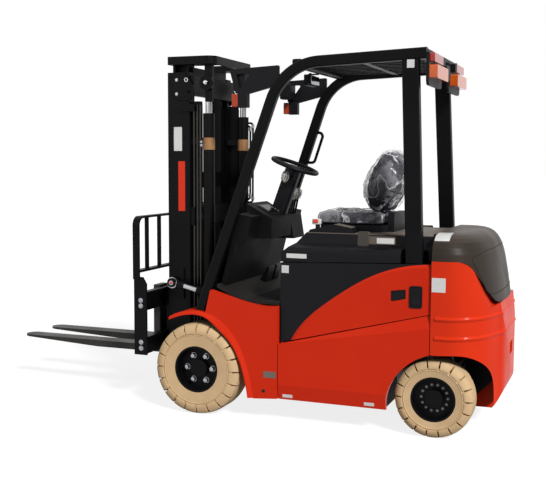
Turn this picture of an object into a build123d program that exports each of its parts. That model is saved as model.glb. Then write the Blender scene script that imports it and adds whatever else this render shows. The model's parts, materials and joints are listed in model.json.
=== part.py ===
import os

from build123d import *

os.makedirs("parts", exist_ok=True)

# Forklift truck, millimetres. X points to the forks, Y to the truck's left, Z up from the floor.

# Layout along the truck
WHEELBASE = 1495
REAR_OVERHANG = 371
FRONT_OVERHANG = 491
FORK_LENGTH = 1070
LENGTH = REAR_OVERHANG + WHEELBASE + FRONT_OVERHANG + FORK_LENGTH
XR = REAR_OVERHANG - LENGTH / 2
XF = XR + WHEELBASE
FORK_FACE = XF + FRONT_OVERHANG

# Drive wheels
DRIVE_TYRE_RADIUS = 290
DRIVE_TYRE_WIDTH = 225
DRIVE_RIM_RADIUS = 148
DRIVE_OUTER_FACE = 583
DRIVE_NUT_CIRCLE = 88
DRIVE_NUT_RADIUS = 13

# Steer wheels
STEER_TYRE_RADIUS = 231
STEER_TYRE_WIDTH = 170
STEER_RIM_RADIUS = 132
STEER_OUTER_FACE = 543
KINGPIN_Y = 345
KINGPIN_RADIUS = 18
AXLE_TUBE_RADIUS = 70
AXLE_END_Y = 470
DRIVE_SPINDLE_RADIUS = 40
STEER_SPINDLE_RADIUS = 34
DRIVE_LUGS = 20
STEER_LUGS = 18
DRIVE_GROOVE_LONG = 60
STEER_GROOVE_LONG = 46
GROOVE_DEEP = 44
GROOVE_WIDE = 9

# Body widths, measured from the middle plane
PANEL_Y = 570
INLAY_Y = 556
DOOR_Y = 546
HOOD_Y = 540
SKIN = 40
SILL_Y = 478
NOSE_Y = 335
PLATE = 14
RUN_GAP = 0.6
HINGE_PIN_RADIUS = 6
HINGE_PIN_HIGH = 50
DOOR_THICK = 22
DOOR_BEVEL_WIDE = 70
DOOR_BEVEL_DEEP = 5
INLAY_BEVEL = 15
LATCH_WIDE = 75
LATCH_HIGH = 128
LATCH_PROUD = 5
LATCH_Z = 826
GRIP_Z = 829

# Body heights
BELLY_Z = 150
SHELF_Z = 545
SEAM_FRONT_Z = 492
SEAM_REAR_Z = 724
DOOR_TOP_Z = 1022
HOOD_FRONT_Z = 994
HOOD_EDGE_Z = 1082
NOSE_TOP_Z = 620
DECK_Z = 1165
FLOOR_Z = 745
COVER_TOP_Z = 1187

# Body stations along the truck
BODY_SPLIT = XR + 21
DOOR_FRONT = XR + 942
PANEL_FRONT = XR + 951
HINGE_X = DOOR_FRONT - 10
HINGE_Y = DOOR_Y - 12
LATCH_X = XR + 106
GRIP_X = XR + 210
SEAM_GAP = 5
STEP_Z = 723
MAST_GAP = 12
ARCH_LIP_SHARE = 0.2
ARCH_ROOF_SHARE = 0.45
BEVEL_HIGH = 74
BEVEL_DEEP = 20
WELL_Y = 122
TAIL_LOW_Z = 109
BELT_LOW_Z = 556
COVER_SEAM_Z = 1036
COVER_SEAM_RADIUS = 110
COVER_PANEL_DEEP = 220
HOOD_REAR = XR + 38
TRAY_REAR = XR + 345
SILL_MID = (SILL_Y - PLATE + PANEL_Y - SKIN) / 2
SILL_WIDE = PANEL_Y - SKIN - SILL_Y + PLATE
TRAY_FRONT = XF - 400
NOSE_FRONT = XF - 165

# Tow pin pocket in the counterweight
TOW_Z = 470
TOW_HIGH = 76
TOW_DEEP = 74
TOW_LIP = 60
TOW_PIN_RADIUS = 15
TOW_X = XR - REAR_OVERHANG + 40

# Overhead guard
GUARD_TOP_Y = 498
GUARD_FOOT_Y = 545
LEG_DEPTH = 66
LEG_WIDTH = 52
GUARD_REAR = XR + 84
POST_DEPTH = 98
POST_WIDTH = 60
POST_FOOT_X = XR + 126
LEG_FOOT_Z = 664
ROOF_BEND_X = XR + 955
ROOF_BEND_Z = 2183
ROOF_BEND_RADIUS = 330
ROOF_REAR_Z = 2217
SLAT_COUNT = 9
SLAT_PITCH = 86
LAMP_Y = 476
LAMP_FRONT = XR + 1310
LAMP_TOP_Z = 2177
TAIL_LAMP_Y = 305
TAIL_PLATE = 16
TAIL_PLATE_Z = 2130
TAIL_PLATE_HIGH = 190
RED_LENS_Z = 2192
RED_LENS_HIGH = 50
AMBER_LENS_Z = 2112
AMBER_LENS_HIGH = 76

# Mast
RAIL_OUTER_Y = 330
RAIL_FRONT = XF + 316
RAIL_DEPTH = 156
RAIL_WEB = 18
RAIL_FLANGE = 62
OUTER_BOTTOM_Z = 120
OUTER_TOP_Z = 2168
INNER_TOP_Z = 2270
INNER_BOTTOM_Z = 262
INNER_WEB_Y = 262
INNER_DEPTH = 110
INNER_WEB = 16
INNER_FLANGE = 46
INNER_MIDDLE_Z = 1420
INNER_TIE_HIGH = 105
MAST_TIE = 30
LIFT_X = XF + 44
LIFT_Y = 284
LIFT_BARREL_RADIUS = 38
LIFT_ROD_RADIUS = 22
LIFT_BARREL_TOP = 1905
LIFT_FOOT_Z = 480
LIFT_ROD_LOW = 560
INNER_X = RAIL_FRONT - RAIL_DEPTH / 2
TOP_TIE_HIGH = 52
TOP_TIE_REAR = LIFT_X - 55
FREE_X = INNER_X + 8
FREE_RADIUS = 42
INNER_TIE_FRONT = INNER_X - INNER_DEPTH / 2 + 1
FREE_FOOT_BACK = INNER_TIE_FRONT
FREE_ROD_RADIUS = 22
FREE_TOP_Z = 1080
FREE_ROD_LOW = 460
HEAD_Z = 1240
PULLEY_RADIUS = 46
CHAIN_Y = 62
CHAIN_THICK = 10
CHAIN_LOW = 520
CHAIN_BACK_LOW = 700
CHAIN_PITCH = 32
CHAIN_NOTCH = 6
ROD_HEAD_Z = 1978
SHEAVE_Z = 2100
SHEAVE_RADIUS = 48
PIPE_RADIUS = 7
PIPE_BACK = 54
PIPE_PITCH = 20
PIPE_LOW = 1384

# Carriage, forks and backrest
CARRIAGE_Y = 478
BAR_BACK = FORK_FACE - 90
BAR_THICK = 45
UPPER_BAR_TOP = 747
UPPER_BAR_HIGH = 120
LOWER_BAR_BOTTOM = 340
LOWER_BAR_HIGH = 110
FORK_TOP_Z = 344
FORK_THICK = 45
FORK_WIDTH = 120
FORK_Y = 160
FORK_TIP_THICK = 12
BACKREST_Y = 500
BACKREST_TOP_Z = 1240
BACKREST_BAR = 14
BACKREST_DEEP = 46
BACKREST_LOW_Z = 830
BACKREST_SILL_Z = 873
BACKREST_BARS = 5
BACKREST_PITCH = 172

# Tilt cylinders
TILT_Y = 380
TILT_PIN_X = XF + 262
TILT_PIN_Z = 806
TILT_FOOT_X = XF - 240
TILT_FOOT_Z = 690
TILT_BARREL_RADIUS = 34
TILT_ROD_RADIUS = 18
TILT_BARREL_LENGTH = 330
TILT_ROD_LOW = 170
TILT_ROD_LENGTH = 320

# Steering and seat
WHEEL_X = XR + 1048
WHEEL_Z = 1569
WHEEL_LEAN_X = 0.342
WHEEL_LEAN_Z = 0.940
WHEEL_RIM_RADIUS = 152
WHEEL_TUBE_RADIUS = 13
SEAT_HALF = 235
SEAT_BACK_THICK = 120
DECK_HALF = 370
CONSOLE_Y = 306
CONSOLE_WIDE = 110
CONSOLE_HIGH = 52
CONSOLE_FRONT = XR + 834
KNUCKLE_Y = 250
KNUCKLE_WIDE = 80
KNUCKLE_RADIUS = 9
HOOD_PIN_RADIUS = 4
KNUCKLE_Z = DECK_Z + 6
HOOD_LOW_Z = 900
COWL_Y = 470
LEVER_COUNT = 4
LEVER_Y = 140
LEVER_PITCH = 46


# Battery, one plain block for the hidden mass
with BuildPart() as battery:
    with BuildSketch(Plane.XY.offset(BELLY_Z + PLATE)):
        with Locations((XR + 645, 0)):
            Rectangle(540, 860)
    extrude(amount=800)
battery.part.label = "battery"
export_step(battery.part, "parts/battery.step")

# Welded chassis frame: wide battery tray, narrow nose between the drive wheels
with BuildPart() as frame:
    with BuildSketch(Plane.XY.offset(BELLY_Z)):
        with Locations(((TRAY_REAR + TRAY_FRONT) / 2, 0)):
            Rectangle(TRAY_FRONT - TRAY_REAR, 2 * SILL_Y)
        with Locations(((TRAY_FRONT + NOSE_FRONT) / 2, 0)):
            Rectangle(NOSE_FRONT - TRAY_FRONT, 2 * NOSE_Y)
    extrude(amount=PLATE)
    with BuildSketch(Plane.XY.offset(BELLY_Z)):
        with Locations(((TRAY_REAR + TRAY_FRONT) / 2, SILL_MID), ((TRAY_REAR + TRAY_FRONT) / 2, -SILL_MID)):
            Rectangle(TRAY_FRONT - TRAY_REAR, SILL_WIDE)
    extrude(amount=SEAM_FRONT_Z - 40 - BELLY_Z)
    with BuildSketch(Plane.XY.offset(BELLY_Z)):
        with Locations((TRAY_FRONT - PLATE / 2, 0)):
            Rectangle(PLATE, 2 * SILL_Y)
        with Locations((NOSE_FRONT - PLATE / 2, 0)):
            Rectangle(PLATE, 2 * NOSE_Y)
        with Locations(((TRAY_FRONT + NOSE_FRONT) / 2, NOSE_Y - PLATE / 2)):
            Rectangle(NOSE_FRONT - TRAY_FRONT, PLATE)
        with Locations(((TRAY_FRONT + NOSE_FRONT) / 2, PLATE / 2 - NOSE_Y)):
            Rectangle(NOSE_FRONT - TRAY_FRONT, PLATE)
    extrude(amount=NOSE_TOP_Z - BELLY_Z)
    with BuildSketch(Plane.XY.offset(BELLY_Z)):
        with Locations((TRAY_REAR + PLATE / 2, 0)):
            Rectangle(PLATE, 2 * SILL_Y)
    extrude(amount=SHELF_Z - BELLY_Z)
    with BuildSketch(Plane.XY.offset(BELLY_Z)):
        with Locations((DOOR_FRONT - 14, 0)):
            Rectangle(PLATE, 2 * SILL_Y)
    extrude(amount=HOOD_FRONT_Z - 12 - BELLY_Z)
    with BuildSketch(Plane.XY.offset(SHELF_Z - PLATE)):
        with Locations(((BODY_SPLIT - SEAM_GAP + TRAY_REAR + PLATE) / 2, 0)):
            Rectangle(TRAY_REAR + PLATE - BODY_SPLIT + SEAM_GAP, 2 * SILL_Y)
    extrude(amount=PLATE)
    with BuildSketch(Plane.XY.offset(SHELF_Z - PLATE)):
        with Locations((POST_FOOT_X, SILL_Y + 8), (POST_FOOT_X, -SILL_Y - 8)):
            Rectangle(POST_DEPTH + 16, 52)
    extrude(amount=DOOR_TOP_Z - 4 - SHELF_Z + PLATE)
    for side in (1, -1):
        with BuildSketch(Plane.XZ.offset(-side * 216 - 12)):
            with BuildLine():
                Polyline(
                    (NOSE_FRONT - 2, 180),
                    (XF + 80, 180),
                    (XF + 80, 400),
                    (XF - 60, NOSE_TOP_Z - 60),
                    (NOSE_FRONT - 2, NOSE_TOP_Z - 60),
                    close=True,
                )
            make_face()
            with Locations((XF, DRIVE_TYRE_RADIUS)):
                Circle(AXLE_TUBE_RADIUS, mode=Mode.SUBTRACT)
        extrude(amount=24)
    with BuildSketch(Plane.XZ.offset(-30)):
        with BuildLine():
            Polyline(
                (XR - 34, STEER_TYRE_RADIUS + 68),
                (XR + 34, STEER_TYRE_RADIUS + 68),
                (XR + 150, SHELF_Z - PLATE),
                (XR + 30, SHELF_Z - PLATE),
                close=True,
            )
        make_face()
    extrude(amount=60)
    for side in (1, -1):
        with BuildSketch(Plane.XZ.offset(-side * (NOSE_Y - 3) - 7)):
            with BuildLine():
                Polyline(
                    (TILT_FOOT_X - 60, NOSE_TOP_Z - 60),
                    (TILT_FOOT_X + 70, NOSE_TOP_Z - 60),
                    (TILT_FOOT_X + 30, TILT_FOOT_Z + 32),
                    (TILT_FOOT_X - 30, TILT_FOOT_Z + 32),
                    close=True,
                )
            make_face()
        extrude(amount=14)
        with BuildSketch(Plane.XZ.offset(-side * (TILT_Y - 14) - 32)):
            with Locations((TILT_FOOT_X, TILT_FOOT_Z)):
                Circle(14)
        extrude(amount=64)
frame.part.label = "frame"
export_step(frame.part, "parts/frame.step")

# Red front fenders: a flared arch band over the tyre and the step side behind it
arch_crease = [(193, 614), (72, 658), (-60, 655), (-176, 603), (-264, 509), (-318, 406), (-386, 142)]
arch_edge = [(188, 596), (70, 634), (-56, 628), (-152, 558), (-232, 482), (-285, 394), (-352, 142)]


def arch_points(share, lift=0):
    """Points between the arch's edge over the tyre and its crease with the panel."""
    return [
        (XF + a[0] + share * (b[0] - a[0]), a[1] + share * (b[1] - a[1]) + lift)
        for a, b in zip(arch_edge, arch_crease)
    ]


with BuildPart() as front_fenders:
    for plane_y, share in ((PANEL_Y, 1), (DRIVE_OUTER_FACE, ARCH_LIP_SHARE)):
        with BuildSketch(Plane.XZ.offset(-plane_y)):
            with BuildLine():
                outer = Spline(*arch_points(share))
                inner = Spline(*arch_points(0))
                Line(outer @ 0, inner @ 0)
                Line(outer @ 1, inner @ 1)
            make_face()
    loft(ruled=True)
    with BuildSketch(Plane.XZ.offset(-PANEL_Y)):
        with BuildLine():
            outer = Spline(*arch_points(1))
            inner = Spline(*arch_points(1 - ARCH_ROOF_SHARE))
            Line(outer @ 0, inner @ 0)
            Line(outer @ 1, inner @ 1)
        make_face()
    extrude(amount=PANEL_Y - RAIL_OUTER_Y - MAST_GAP)
    with BuildSketch(Plane.XZ.offset(-PANEL_Y)):
        with BuildLine():
            crease = Spline(*arch_points(1, -3)[2:])
            Polyline(crease @ 1, (PANEL_FRONT, BELLY_Z + 1), (PANEL_FRONT, STEP_Z))
            Spline(
                (PANEL_FRONT, STEP_Z),
                (XF - 331, STEP_Z + 12),
                (XF - 206, STEP_Z + 45),
                (XF - 95, STEP_Z + 76),
            )
            Line((XF - 95, STEP_Z + 76), crease @ 0)
        make_face()
    extrude(amount=SKIN)
    mirror(about=Plane.XZ)
front_fenders.part.label = "front_fenders"
export_step(front_fenders.part, "parts/front_fenders.step")

# Red lower side panels with the rear arch, a bevelled upper edge and a tucked-in foot
with BuildPart() as side_panels:
    with BuildSketch(Plane.XZ.offset(-PANEL_Y)):
        with BuildLine():
            Polyline(
                (XR + 273, BELLY_Z - 2),
                (PANEL_FRONT - SEAM_GAP, BELLY_Z),
                (PANEL_FRONT - SEAM_GAP, SEAM_FRONT_Z),
                (BODY_SPLIT, SEAM_REAR_Z),
                (BODY_SPLIT, 495),
            )
            Spline(
                (BODY_SPLIT, 495),
                (XR + 141, 433),
                (XR + 217, 353),
                (XR + 263, 260),
                (XR + 273, BELLY_Z - 2),
            )
        make_face()
    extrude(amount=SKIN)
    bevel_front = Vector(PANEL_FRONT, PANEL_Y, SEAM_FRONT_Z)
    bevel_low = Vector(BODY_SPLIT, PANEL_Y, SEAM_REAR_Z - BEVEL_HIGH)
    bevel_top = Vector(BODY_SPLIT, PANEL_Y - BEVEL_DEEP, SEAM_REAR_Z)
    bevel_normal = (bevel_low - bevel_front).cross(bevel_top - bevel_front)
    with BuildSketch(Plane(bevel_front, x_dir=bevel_low - bevel_front, z_dir=bevel_normal)):
        Rectangle(3 * WHEELBASE, WHEELBASE)
    extrude(amount=SKIN, mode=Mode.SUBTRACT)
    with BuildSketch(Plane.YZ.offset(XR)):
        with BuildLine():
            Polyline(
                (PANEL_Y, BELLY_Z + 90),
                (PANEL_Y - 18, BELLY_Z - 20),
                (PANEL_Y + 20, BELLY_Z - 20),
                close=True,
            )
        make_face()
    extrude(amount=WHEELBASE, mode=Mode.SUBTRACT)
    with BuildSketch(Plane.XY.offset(SEAM_FRONT_Z - 20)):
        with Locations((HINGE_X, HINGE_Y)):
            Circle(HINGE_PIN_RADIUS)
    extrude(amount=HINGE_PIN_HIGH)
    mirror(about=Plane.XZ)
side_panels.part.label = "side_panels"
export_step(side_panels.part, "parts/side_panels.step")

# Tail of the truck as one outline, shared by the counterweight and its cover
with BuildPart() as tail:
    with BuildSketch(Plane.XY.offset(TAIL_LOW_Z)):
        with BuildLine():
            Spline(
                (BODY_SPLIT - SEAM_GAP, PANEL_Y),
                (XR - 130, PANEL_Y - 8),
                (XR - 255, PANEL_Y - 90),
                (XR - 330, PANEL_Y - 250),
                (XR - REAR_OVERHANG, 0),
                tangents=((-1, 0), (0, -1)),
            )
            Line((XR - REAR_OVERHANG, 0), (BODY_SPLIT - SEAM_GAP, 0))
            Line((BODY_SPLIT - SEAM_GAP, 0), (BODY_SPLIT - SEAM_GAP, PANEL_Y))
        make_face()
        mirror(about=Plane.XZ)
    extrude(amount=COVER_TOP_Z - TAIL_LOW_Z)
    with BuildSketch(Plane.XZ.offset(-PANEL_Y - 40)):
        with BuildLine():
            Spline(
                (XR - 282, TAIL_LOW_Z),
                (XR - 350, 229),
                (XR - REAR_OVERHANG, 450),
                (XR - 361, 636),
                (XR - 338, 808),
                (XR - 301, COVER_TOP_Z - 159),
                (XR - 250, COVER_TOP_Z - 36),
                (XR - 205, COVER_TOP_Z),
                tangents=((-0.4, 1), (1, 0)),
            )
            Polyline(
                (XR - 205, COVER_TOP_Z),
                (BODY_SPLIT, COVER_TOP_Z),
                (BODY_SPLIT, TAIL_LOW_Z),
                (XR - 282, TAIL_LOW_Z),
            )
        make_face()
    extrude(amount=2 * PANEL_Y + 80, mode=Mode.INTERSECT)
    with BuildSketch(Plane.YZ.offset(XR - REAR_OVERHANG - 20)):
        with BuildLine():
            Polyline(
                (0, TAIL_LOW_Z),
                (PANEL_Y - 20, TAIL_LOW_Z),
                (PANEL_Y + 1, 240),
                (PANEL_Y + 1, BELT_LOW_Z),
            )
            Spline(
                (PANEL_Y + 1, BELT_LOW_Z),
                (PANEL_Y - 12, BELT_LOW_Z + 34),
                (INLAY_Y - 3, BELT_LOW_Z + 74),
                (INLAY_Y + 5, BELT_LOW_Z + 122),
                (INLAY_Y, BELT_LOW_Z + 170),
                tangents=((0, 1), (0, 1)),
            )
            Line((INLAY_Y, BELT_LOW_Z + 170), (INLAY_Y - 4, COVER_TOP_Z - 170))
            Spline(
                (INLAY_Y - 4, COVER_TOP_Z - 170),
                (INLAY_Y - 24, COVER_TOP_Z - 84),
                (INLAY_Y - 72, COVER_TOP_Z - 24),
                (INLAY_Y - 160, COVER_TOP_Z),
                tangents=((0, 1), (-1, 0)),
            )
            Polyline((INLAY_Y - 160, COVER_TOP_Z), (0, COVER_TOP_Z), (0, TAIL_LOW_Z))
        make_face()
        mirror(about=Plane.YZ)
    extrude(amount=REAR_OVERHANG + 80, mode=Mode.INTERSECT)
    for side in (1, -1):
        with BuildSketch(Plane.XZ.offset(-side * (PANEL_Y + 40))):
            with BuildLine():
                Spline(
                    (XR + 40, 499),
                    (XR - 68, 499),
                    (XR - 204, 490),
                    (XR - 277, 439),
                    (XR - 315, 329),
                    (XR - 328, 90),
                )
                Polyline((XR - 328, 90), (XR + 40, 90), (XR + 40, 499))
            make_face()
        extrude(amount=side * (PANEL_Y + 40 - WELL_Y), mode=Mode.SUBTRACT)
    with BuildSketch(Plane.XY.offset(90)):
        with Locations((XR - 40, 0)):
            Rectangle(150, 2 * WELL_Y + 20)
    extrude(amount=409, mode=Mode.SUBTRACT)

# Region above the seam between the counterweight and its cover
with BuildPart() as cover_region:
    with BuildSketch(Plane.XZ.offset(-PANEL_Y - 40)):
        with BuildLine():
            FilletPolyline(
                (BODY_SPLIT + 5, COVER_SEAM_Z),
                (XR - 189, COVER_SEAM_Z),
                (XR - 292, COVER_SEAM_Z - 270),
                (XR - 420, COVER_SEAM_Z - 222),
                radius=(COVER_SEAM_RADIUS, 16),
            )
            Polyline(
                (XR - 420, COVER_SEAM_Z - 222),
                (XR - 420, COVER_TOP_Z + 10),
                (BODY_SPLIT + 5, COVER_TOP_Z + 10),
                (BODY_SPLIT + 5, COVER_SEAM_Z),
            )
        make_face()
    extrude(amount=2 * PANEL_Y + 80)

# Cast counterweight
with BuildPart() as counterweight:
    add(tail.part)
    add(cover_region.part, mode=Mode.SUBTRACT)
    with BuildSketch(Plane.XY.offset(TOW_Z - TOW_HIGH / 2)):
        with Locations((XR - REAR_OVERHANG, 0)):
            Rectangle(2 * TOW_DEEP, 130)
    extrude(amount=TOW_HIGH, mode=Mode.SUBTRACT)
    with BuildSketch(Plane.XY.offset(TAIL_LOW_Z)):
        with Locations((TOW_X, 0)):
            Circle(TOW_PIN_RADIUS)
    extrude(amount=TOW_Z + TOW_HIGH / 2 + TOW_LIP - TAIL_LOW_Z, mode=Mode.SUBTRACT)
counterweight.part.label = "counterweight"
export_step(counterweight.part, "parts/counterweight.step")

# Black moulded cover on top of the counterweight, with the seam of its rear panel
with BuildPart() as rear_cover:
    add(tail.part)
    add(cover_region.part, mode=Mode.INTERSECT)
    with BuildSketch(Plane.YZ.offset(XR - 420)):
        with BuildLine():
            FilletPolyline(
                (0, COVER_TOP_Z - 92),
                (330, COVER_TOP_Z - 96),
                (494, COVER_TOP_Z - 130),
                (404, COVER_SEAM_Z - 254),
                (0, COVER_SEAM_Z - 214),
                radius=(60, 26, 20),
            )
            Line((0, COVER_SEAM_Z - 214), (0, COVER_TOP_Z - 92))
        make_face()
        mirror(about=Plane.YZ)
        offset(amount=-SEAM_GAP, mode=Mode.SUBTRACT)
    extrude(amount=COVER_PANEL_DEEP, mode=Mode.SUBTRACT)
    for side in (1, -1):
        for knuckle_y in (KNUCKLE_Y - KNUCKLE_WIDE - 1, KNUCKLE_Y + KNUCKLE_WIDE + 1):
            with BuildSketch(Plane.XZ.offset(-side * knuckle_y - KNUCKLE_WIDE / 2)):
                with Locations((HOOD_REAR, KNUCKLE_Z)):
                    Circle(KNUCKLE_RADIUS)
                with Locations(((BODY_SPLIT + HOOD_REAR) / 2 - SEAM_GAP, KNUCKLE_Z)):
                    Rectangle(HOOD_REAR - BODY_SPLIT + 2 * SEAM_GAP, KNUCKLE_RADIUS)
                with Locations((HOOD_REAR, KNUCKLE_Z)):
                    Circle(HOOD_PIN_RADIUS + RUN_GAP, mode=Mode.SUBTRACT)
            extrude(amount=KNUCKLE_WIDE)
rear_cover.part.label = "rear_cover"
export_step(rear_cover.part, "parts/rear_cover.step")

# Side doors over the battery bay, hinged at their front edge, each with a latch and a red inlay
swoosh = [(XR + 375, 931), (XR + 617, 782), (XR + 805, 619)]
for side, name in ((1, "left"), (-1, "right")):
    with BuildPart() as side_door:
        with BuildSketch(Plane.XZ.offset(-side * DOOR_Y)):
            with BuildLine():
                Polyline(
                    (DOOR_FRONT, SEAM_FRONT_Z + SEAM_GAP + 2),
                    (DOOR_FRONT, HOOD_FRONT_Z - SEAM_GAP),
                    (BODY_SPLIT, DOOR_TOP_Z - SEAM_GAP),
                    (BODY_SPLIT, SEAM_REAR_Z + SEAM_GAP),
                    close=True,
                )
            make_face()
        extrude(amount=side * DOOR_THICK)
        outward = Axis((0, 0, 0), (0, side, 0))
        front_edge = side_door.edges().filter_by(Axis.Z).group_by(Axis.X)[-1].sort_by(outward)[-1]
        outer_face = side_door.faces().sort_by(outward)[-1]
        chamfer(front_edge, DOOR_BEVEL_WIDE, DOOR_BEVEL_DEEP, reference=outer_face)
        with BuildSketch(Plane.XY.offset(SEAM_FRONT_Z - 10)):
            with Locations((HINGE_X, side * HINGE_Y)):
                Circle(HINGE_PIN_RADIUS + RUN_GAP)
        extrude(amount=50, mode=Mode.SUBTRACT)
        with BuildSketch(Plane.XZ.offset(-side * DOOR_Y)):
            with Locations((LATCH_X, LATCH_Z)):
                RectangleRounded(LATCH_WIDE, LATCH_HIGH, 12)
        extrude(amount=-side * (INLAY_Y - DOOR_Y + LATCH_PROUD))
        with BuildSketch(Plane.XZ.offset(-side * (INLAY_Y + LATCH_PROUD))):
            with Locations((LATCH_X, LATCH_Z)):
                RectangleRounded(LATCH_WIDE - 14, LATCH_HIGH - 14, 8)
        extrude(amount=side * 4, mode=Mode.SUBTRACT)
        with BuildSketch(Plane.XZ.offset(-side * (INLAY_Y + LATCH_PROUD))):
            with Locations((LATCH_X, LATCH_Z + LATCH_HIGH / 2 - 26)):
                Circle(14)
            with Locations((LATCH_X, LATCH_Z - 18)):
                RectangleRounded(LATCH_WIDE - 26, LATCH_HIGH - 64, 8)
        extrude(amount=side * 8)
    side_door.part.label = "side_door_" + name
    export_step(side_door.part, "parts/side_door_" + name + ".step")
    with BuildPart() as door_inlay:
        for plane_y, inset in ((DOOR_Y, 0), (INLAY_Y, INLAY_BEVEL)):
            with BuildSketch(Plane.XZ.offset(-side * plane_y)):
                with BuildLine():
                    top = (BODY_SPLIT, DOOR_TOP_Z - 8 - inset)
                    curve = [(x - 0.6 * inset, z - 0.8 * inset) for x, z in swoosh]
                    tip = (DOOR_FRONT - 70 - 1.6 * inset, SEAM_FRONT_Z + 26 + 0.4 * inset)
                    Spline(top, *curve, tip)
                    Polyline(tip, (BODY_SPLIT, SEAM_REAR_Z + SEAM_GAP), top)
                make_face()
        loft(ruled=True)
        with BuildSketch(Plane.XZ.offset(-side * (INLAY_Y + 5))):
            with BuildLine():
                FilletPolyline(
                    (GRIP_X + 45, GRIP_Z - 38),
                    (GRIP_X + 45, GRIP_Z + 26),
                    (GRIP_X - 45, GRIP_Z + 38),
                    (GRIP_X - 45, GRIP_Z - 18),
                    radius=8,
                    close=True,
                )
            make_face()
            with Locations((LATCH_X, LATCH_Z)):
                RectangleRounded(LATCH_WIDE, LATCH_HIGH, 12)
        extrude(amount=side * 30, mode=Mode.SUBTRACT)
    door_inlay.part.label = "door_inlay_" + name
    export_step(door_inlay.part, "parts/door_inlay_" + name + ".step")

# Battery hood, hinged at its rear edge behind the seat, with raised consoles beside the seat
with BuildPart() as battery_hood:
    with BuildSketch(Plane.YZ.offset(HOOD_REAR)):
        with BuildLine():
            FilletPolyline(
                (0, DECK_Z),
                (DECK_HALF, DECK_Z),
                (DECK_HALF + 35, HOOD_EDGE_Z + 20),
                (HOOD_Y, HOOD_EDGE_Z),
                (HOOD_Y, HOOD_FRONT_Z - 10),
                radius=(16, 16, 28),
            )
            Polyline((HOOD_Y, HOOD_FRONT_Z - 10), (0, HOOD_FRONT_Z - 10), (0, DECK_Z))
        make_face()
        mirror(about=Plane.YZ)
    extrude(amount=DOOR_FRONT - HOOD_REAR)
    with BuildSketch(Plane.XZ.offset(-HOOD_Y - 10)):
        with BuildLine():
            Polyline(
                (DOOR_FRONT + 5, HOOD_FRONT_Z),
                (BODY_SPLIT, DOOR_TOP_Z),
                (BODY_SPLIT, HOOD_LOW_Z),
                (DOOR_FRONT + 5, HOOD_LOW_Z),
                close=True,
            )
        make_face()
        with BuildLine():
            front_slope = FilletPolyline(
                (DOOR_FRONT + 5, HOOD_EDGE_Z - 34),
                (DOOR_FRONT - 34, HOOD_EDGE_Z - 6),
                (DOOR_FRONT - 110, DECK_Z + 5),
                radius=40,
            )
            Polyline(front_slope @ 1, (DOOR_FRONT + 5, DECK_Z + 5), front_slope @ 0)
        make_face()
    extrude(amount=2 * HOOD_Y + 20, mode=Mode.SUBTRACT)
    with BuildSketch(Plane.XZ.offset(-CONSOLE_Y - CONSOLE_WIDE / 2)):
        with BuildLine():
            FilletPolyline(
                (CONSOLE_FRONT, DECK_Z - 8),
                (CONSOLE_FRONT - 16, DECK_Z + 16),
                (CONSOLE_FRONT - 170, DECK_Z + CONSOLE_HIGH),
                (CONSOLE_FRONT - 276, DECK_Z + CONSOLE_HIGH - 18),
                (CONSOLE_FRONT - 300, DECK_Z - 8),
                radius=(8, 30, 14),
            )
            Line((CONSOLE_FRONT - 300, DECK_Z - 8), (CONSOLE_FRONT, DECK_Z - 8))
        make_face()
    extrude(amount=CONSOLE_WIDE)
    mirror(about=Plane.XZ)
    post_notch = XR + 204 - HOOD_REAR
    notch_x = HOOD_REAR + post_notch / 2 - 10
    with BuildSketch(Plane.XY.offset(HOOD_LOW_Z)):
        with Locations((notch_x, HOOD_Y - 34), (notch_x, 34 - HOOD_Y)):
            Rectangle(post_notch + 20, 104)
    extrude(amount=2 * DECK_Z - 2 * HOOD_LOW_Z, mode=Mode.SUBTRACT)
    with BuildSketch(Plane.XY.offset(HOOD_LOW_Z)):
        with Locations(((HOOD_REAR + DOOR_FRONT) / 2 - 20, 0)):
            Rectangle(DOOR_FRONT - HOOD_REAR - 80, 2 * HOOD_Y - 170)
    extrude(amount=HOOD_EDGE_Z - HOOD_LOW_Z, mode=Mode.SUBTRACT)
    with BuildSketch(Plane.XY.offset(HOOD_LOW_Z)):
        with Locations(((HOOD_REAR + DOOR_FRONT) / 2 - 60, 0)):
            Rectangle(DOOR_FRONT - HOOD_REAR - 170, 2 * DECK_HALF - 50)
    extrude(amount=DECK_Z - PLATE - HOOD_LOW_Z, mode=Mode.SUBTRACT)
    for side in (1, -1):
        with BuildSketch(Plane.XZ.offset(-side * KNUCKLE_Y - KNUCKLE_WIDE / 2)):
            with Locations((HOOD_REAR, KNUCKLE_Z)):
                Circle(KNUCKLE_RADIUS)
        extrude(amount=KNUCKLE_WIDE)
    for side in (1, -1):
        for knuckle_y in (KNUCKLE_Y - KNUCKLE_WIDE - 1, KNUCKLE_Y + KNUCKLE_WIDE + 1):
            with BuildSketch(Plane.XZ.offset(-side * knuckle_y - KNUCKLE_WIDE / 2 - 1)):
                with Locations((HOOD_REAR, KNUCKLE_Z)):
                    Circle(KNUCKLE_RADIUS + 6)
            extrude(amount=KNUCKLE_WIDE + 2, mode=Mode.SUBTRACT)
        with BuildSketch(Plane.XZ.offset(-side * KNUCKLE_Y - 1.4 * KNUCKLE_WIDE)):
            with Locations((HOOD_REAR, KNUCKLE_Z)):
                Circle(HOOD_PIN_RADIUS)
        extrude(amount=2.8 * KNUCKLE_WIDE)
battery_hood.part.label = "battery_hood"
export_step(battery_hood.part, "parts/battery_hood.step")

# Seat base on the hood
with BuildPart() as seat_pan:
    with BuildSketch(Plane.XY.offset(DECK_Z)):
        with Locations((XR + 590, 0)):
            RectangleRounded(440, 2 * SEAT_HALF - 40, 50)
    extrude(amount=42)
    with BuildSketch(Plane.XY.offset(DECK_Z)):
        with Locations((XR + 358, 0)):
            Rectangle(40, 300)
    extrude(amount=120)
seat_pan.part.label = "seat_pan"
export_step(seat_pan.part, "parts/seat_pan.step")

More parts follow.
